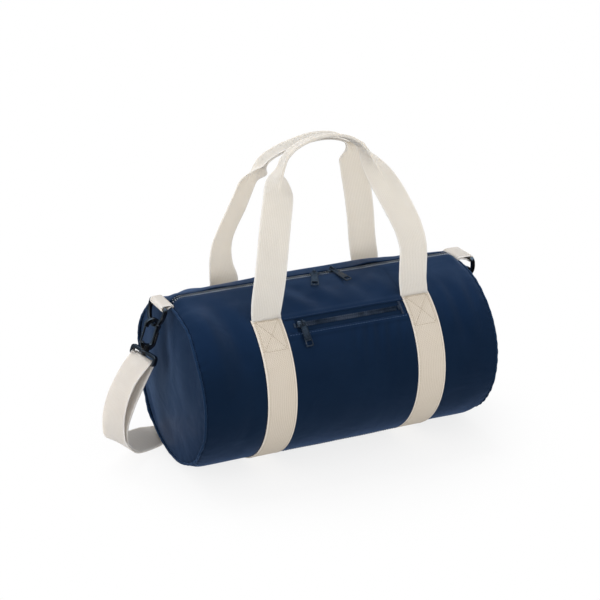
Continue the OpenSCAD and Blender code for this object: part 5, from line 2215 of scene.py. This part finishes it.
@dataclass
class Studio:
    """The plain floor, the lamps and the camera."""

    azimuth: float = -25.29
    elevation: float = 20.95
    eye: tuple[float, float, float] = (-0.86432, -1.77994, 0.93733)
    lens: float = 102.19
    sensor: float = 36.0
    floor_z: float = -0.0004
    floor_half: float = 4.0
    floor_colour: Colour = (0.86, 0.86, 0.86)
    floor_bounce: Colour = (0.82, 0.81, 0.79)
    shadow_reach: tuple[float, float] = (0.17, 0.34)
    near_white: float = 0.80
    far_floor_light: float = 0.65
    floor_mirror: float = 0.36
    mirror_tint: Colour = (0.50, 0.72, 1.0)
    backdrop_light: float = 0.62
    backdrop_mirror: float = 0.28
    room_light: float = 0.70
    room_mirror: float = 0.03
    ceiling_light: float = 0.74
    ceiling_mirror: float = 1.7
    lamps: tuple[tuple[str, tuple, tuple, float, float], ...] = (
        ("window_lamp", (-2.3, -0.3, 0.8), (0, 0, 0.14), 1.5, 31.0),
        ("front_lamp", (-0.7, -2.6, 0.5), (0, 0, 0.16), 1.6, 13.0),
        ("right_lamp", (1.8, -2.1, 0.45), (0, 0, 0.2), 1.6, 30.0),
        ("top_lamp", (0.1, 1.0, 2.2), (0, 0, 0.25), 1.3, 22.0),
    )

    def build(self) -> None:
        """Makes the floor, the world, the lamps and the camera."""
        self._floor()
        self._world()
        for lamp in self.lamps:
            self._lamp(*lamp)
        self._camera()

    def _floor(self) -> None:
        """A pale floor that turns to plain white away from the bag."""
        size, z = self.floor_half, self.floor_z
        mesh = bpy.data.meshes.new("floor")
        corners = [(-size, -size, z), (size, -size, z), (size, size, z), (-size, size, z)]
        mesh.from_pydata(corners, [], [(0, 1, 2, 3)])
        floor = bpy.data.objects.new("floor", mesh)
        bpy.context.scene.collection.objects.link(floor)
        surface = Surface("pale_floor", {"Roughness": 0.9, "Specular IOR Level": 0.1})
        path = surface.add("LightPath").outputs
        seen, glossy = path["Is Camera Ray"], path["Is Glossy Ray"]
        glow = surface.ramp(seen, 0.0, 1.0, (self.far_floor_light, 1.0))
        white = surface.add("Emission", {"Color": (1, 1, 1), "Strength": glow})
        place = surface.where()
        away = surface.add("VectorMath", {0: place}, operation="LENGTH").outputs["Value"]
        far = surface.ramp(away, *self.shadow_reach, (self.near_white, 1.0))
        depth = surface.add("SeparateXYZ", {0: place}).outputs["Y"]
        near, beyond = surface.ramp(depth, 0.02, 0.16), surface.ramp(depth, 0.24, 0.40, (1.0, 0.4))
        share = surface.math("MULTIPLY", surface.math("MULTIPLY", near, beyond), self.floor_mirror)
        mirrored = surface.mix(share, (0, 0, 0), self.mirror_tint)
        colour = surface.mix(glossy, surface.mix(seen, self.floor_bounce, self.floor_colour), mirrored)
        surface.fill(surface.shader, {"Base Color": colour})
        plain = surface.math("MULTIPLY", far, surface.math("SUBTRACT", 1.0, glossy))
        mixed = surface.add("MixShader", {0: plain, 1: surface.shader.outputs[0], 2: white.outputs[0]})
        surface.fill(surface.tree.nodes["Material Output"], {"Surface": mixed.outputs[0]})
        mesh.materials.append(surface.material)

    def _world(self) -> None:
        """A backdrop behind, a bright ceiling and a room in front, seen as white by the camera."""
        world = bpy.data.worlds.new("studio")
        world.use_nodes = True
        nodes = Nodes(world.node_tree)
        soft = nodes.tree.nodes["Background"]
        way = nodes.add("SeparateXYZ", {0: nodes.add("TexCoord").outputs["Generated"]}).outputs
        path = nodes.add("LightPath").outputs
        glossy = path["Is Glossy Ray"]
        room, backdrop, ceiling = (
            nodes.ramp(glossy, 0.0, 1.0, pair) for pair in (
                (self.room_light, self.room_mirror), (self.backdrop_light, self.backdrop_mirror),
                (self.ceiling_light, self.ceiling_mirror),
            )
        )
        behind = nodes.ramp(way["Y"], -0.35, 0.55, (room, backdrop))
        above = nodes.math("MULTIPLY", nodes.ramp(way["Z"], 0.35, 1.0), ceiling)
        nodes.fill(soft, {
            "Color": nodes.mix(glossy, (1, 1, 1), self.mirror_tint),
            "Strength": nodes.math("MAXIMUM", behind, above),
        })
        white = nodes.add("Background", {"Color": (1, 1, 1), "Strength": 1.0})
        mixed = nodes.add("MixShader", {0: path["Is Camera Ray"], 1: soft.outputs[0], 2: white.outputs[0]})
        nodes.fill(nodes.tree.nodes["World Output"], {"Surface": mixed.outputs[0]})
        bpy.context.scene.world = world

    def _lamp(self, name: str, at: tuple, to: tuple, size: float, power: float) -> None:
        """A soft square lamp.

        Args:
            name: of the lamp.
            at: its place.
            to: the point that it faces.
            size: of its side.
            power: in watts.
        """
        light = bpy.data.lights.new(name, "AREA")
        light.size, light.energy = size, power
        lamp = bpy.data.objects.new(name, light)
        lamp.visible_glossy = False
        bpy.context.scene.collection.objects.link(lamp)
        back = unit(np.array(at) - np.array(to))
        self._stand(lamp, at, unit(np.cross([0, 0, 1], back)), back)

    @staticmethod
    def _stand(thing: bpy.types.Object, at: tuple, side: Array, back: Array) -> None:
        """Places a lamp or the camera by its place, its right side and its back."""
        thing.location = at
        thing.rotation_euler = Matrix(np.column_stack([side, np.cross(back, side), back]).tolist()).to_euler()

    def _camera(self) -> None:
        """The camera at the photograph's viewing angle."""
        a, e = math.radians(self.azimuth), math.radians(self.elevation)
        back = np.array([math.sin(a) * math.cos(e), -math.cos(a) * math.cos(e), math.sin(e)])
        side = np.array([math.cos(a), math.sin(a), 0])
        camera = bpy.data.cameras.new("camera")
        camera.lens, camera.sensor_width, camera.clip_end = self.lens, self.sensor, 50.0
        eye = bpy.data.objects.new("camera", camera)
        bpy.context.scene.collection.objects.link(eye)
        self._stand(eye, self.eye, side, back)
        bpy.context.scene.camera = eye


FRONT_ROWS = (
    (-0.99, 0, 0, 0), (-0.96, 0.09, 0, -8), (-0.92, 0.165, 0, -12), (-0.883, 0.237, 0, -13),
    (-0.83, 0.36, 0, -13), (-0.778, 0.483, 0, -13), (-0.73, 0.59, 0, -10), (-0.688, 0.675, 0.06, -6),
    (-0.652, 0.745, 0.42, -2), (-0.622, 0.8, 0.86, 0), (-0.585, 0.846, 1, 0), (-0.54, 0.885, 1, 0),
    (-0.41, 0.935, 1, 0), (-0.2, 0.972, 1, 0), (0.04, 0.985, 1, 0), (0.26, 0.966, 1, 0),
    (0.42, 0.924, 1, 0), (0.52, 0.867, 0.9, 0), (0.605, 0.795, 0.6, 0), (0.7, 0.71, 0.32, 0),
    (0.78, 0.625, 0.12, 0), (0.855, 0.54, 0, 0), (0.93, 0.46, 0, 0), (0.995, 0.375, 0, 0),
    (1.033, 0.27, 0, 0), (1.01, 0.16, 0, 0), (0.99, 0.08, 0, 0), (0.99, 0, 0, 0),
)
BACK_ROWS = (
    (-1.005, 0, 0, 0), (-1.05, 0.1, 0, -16), (-1.078, 0.2, 0, -22), (-1.068, 0.3, 0, -24),
    (-1.005, 0.4, 0, -25), (-0.92, 0.505, 0, -24), (-0.845, 0.61, 0, -26), (-0.79, 0.695, 0.05, -26),
    (-0.745, 0.75, 0.4, -20), (-0.69, 0.798, 0.88, -8), (-0.6, 0.842, 1, 0), (-0.44, 0.885, 1, 0),
    (-0.3, 0.908, 1, 0), (-0.12, 0.932, 1, 0), (0.05, 0.942, 1, 0), (0.2, 0.938, 1, 0),
    (0.33, 0.922, 1, 0), (0.43, 0.896, 0.98, 0), (0.51, 0.858, 0.7, 0), (0.565, 0.81, 0.2, 0),
    (0.605, 0.755, 0, 0), (0.65, 0.67, 0, 0), (0.71, 0.56, 0, 0), (0.765, 0.45, 0, 0),
    (0.82, 0.33, 0, 0), (0.865, 0.21, 0, 0), (0.91, 0.11, 0, 0), (0.955, 0, 0, 0),
)


def main() -> None:
    """Builds the bag in order, then the studio round it."""
    logging.basicConfig(level=logging.INFO, format="%(message)s")
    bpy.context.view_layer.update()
    Studio().build()
    form, finishes = BagForm(), Finishes.build()
    maker = ZipMaker(finishes)
    Barrel(form, finishes).build()
    MainZip(form, finishes, maker).build()
    FrontPocket(form, finishes, maker).build()
    for name, middle in (("left_band", form.left_band_x), ("right_band", form.right_band_x)):
        Band(form, finishes, name, middle).build()
    CarryHandle(form, finishes, "front_handle", FRONT_ROWS, back=False).build()
    CarryHandle(form, finishes, "back_handle", BACK_ROWS, back=True).build()
    left = Clip(form, finishes, "left", -1, tab_out=11.0, slant=19.0, hook_turn=-5.0, loop_turn=18.0)
    right = Clip(form, finishes, "right", 1, tab_out=19.0, slant=8.0, hook_turn=0.0, loop_turn=0.0)
    for clip in (left, right):
        clip.build()
    ShoulderStrap(form, finishes, left, right).build()
    bpy.context.scene.view_settings.view_transform = "Standard"
    bpy.context.view_layer.update()


if __name__ == "__main__":
    main()
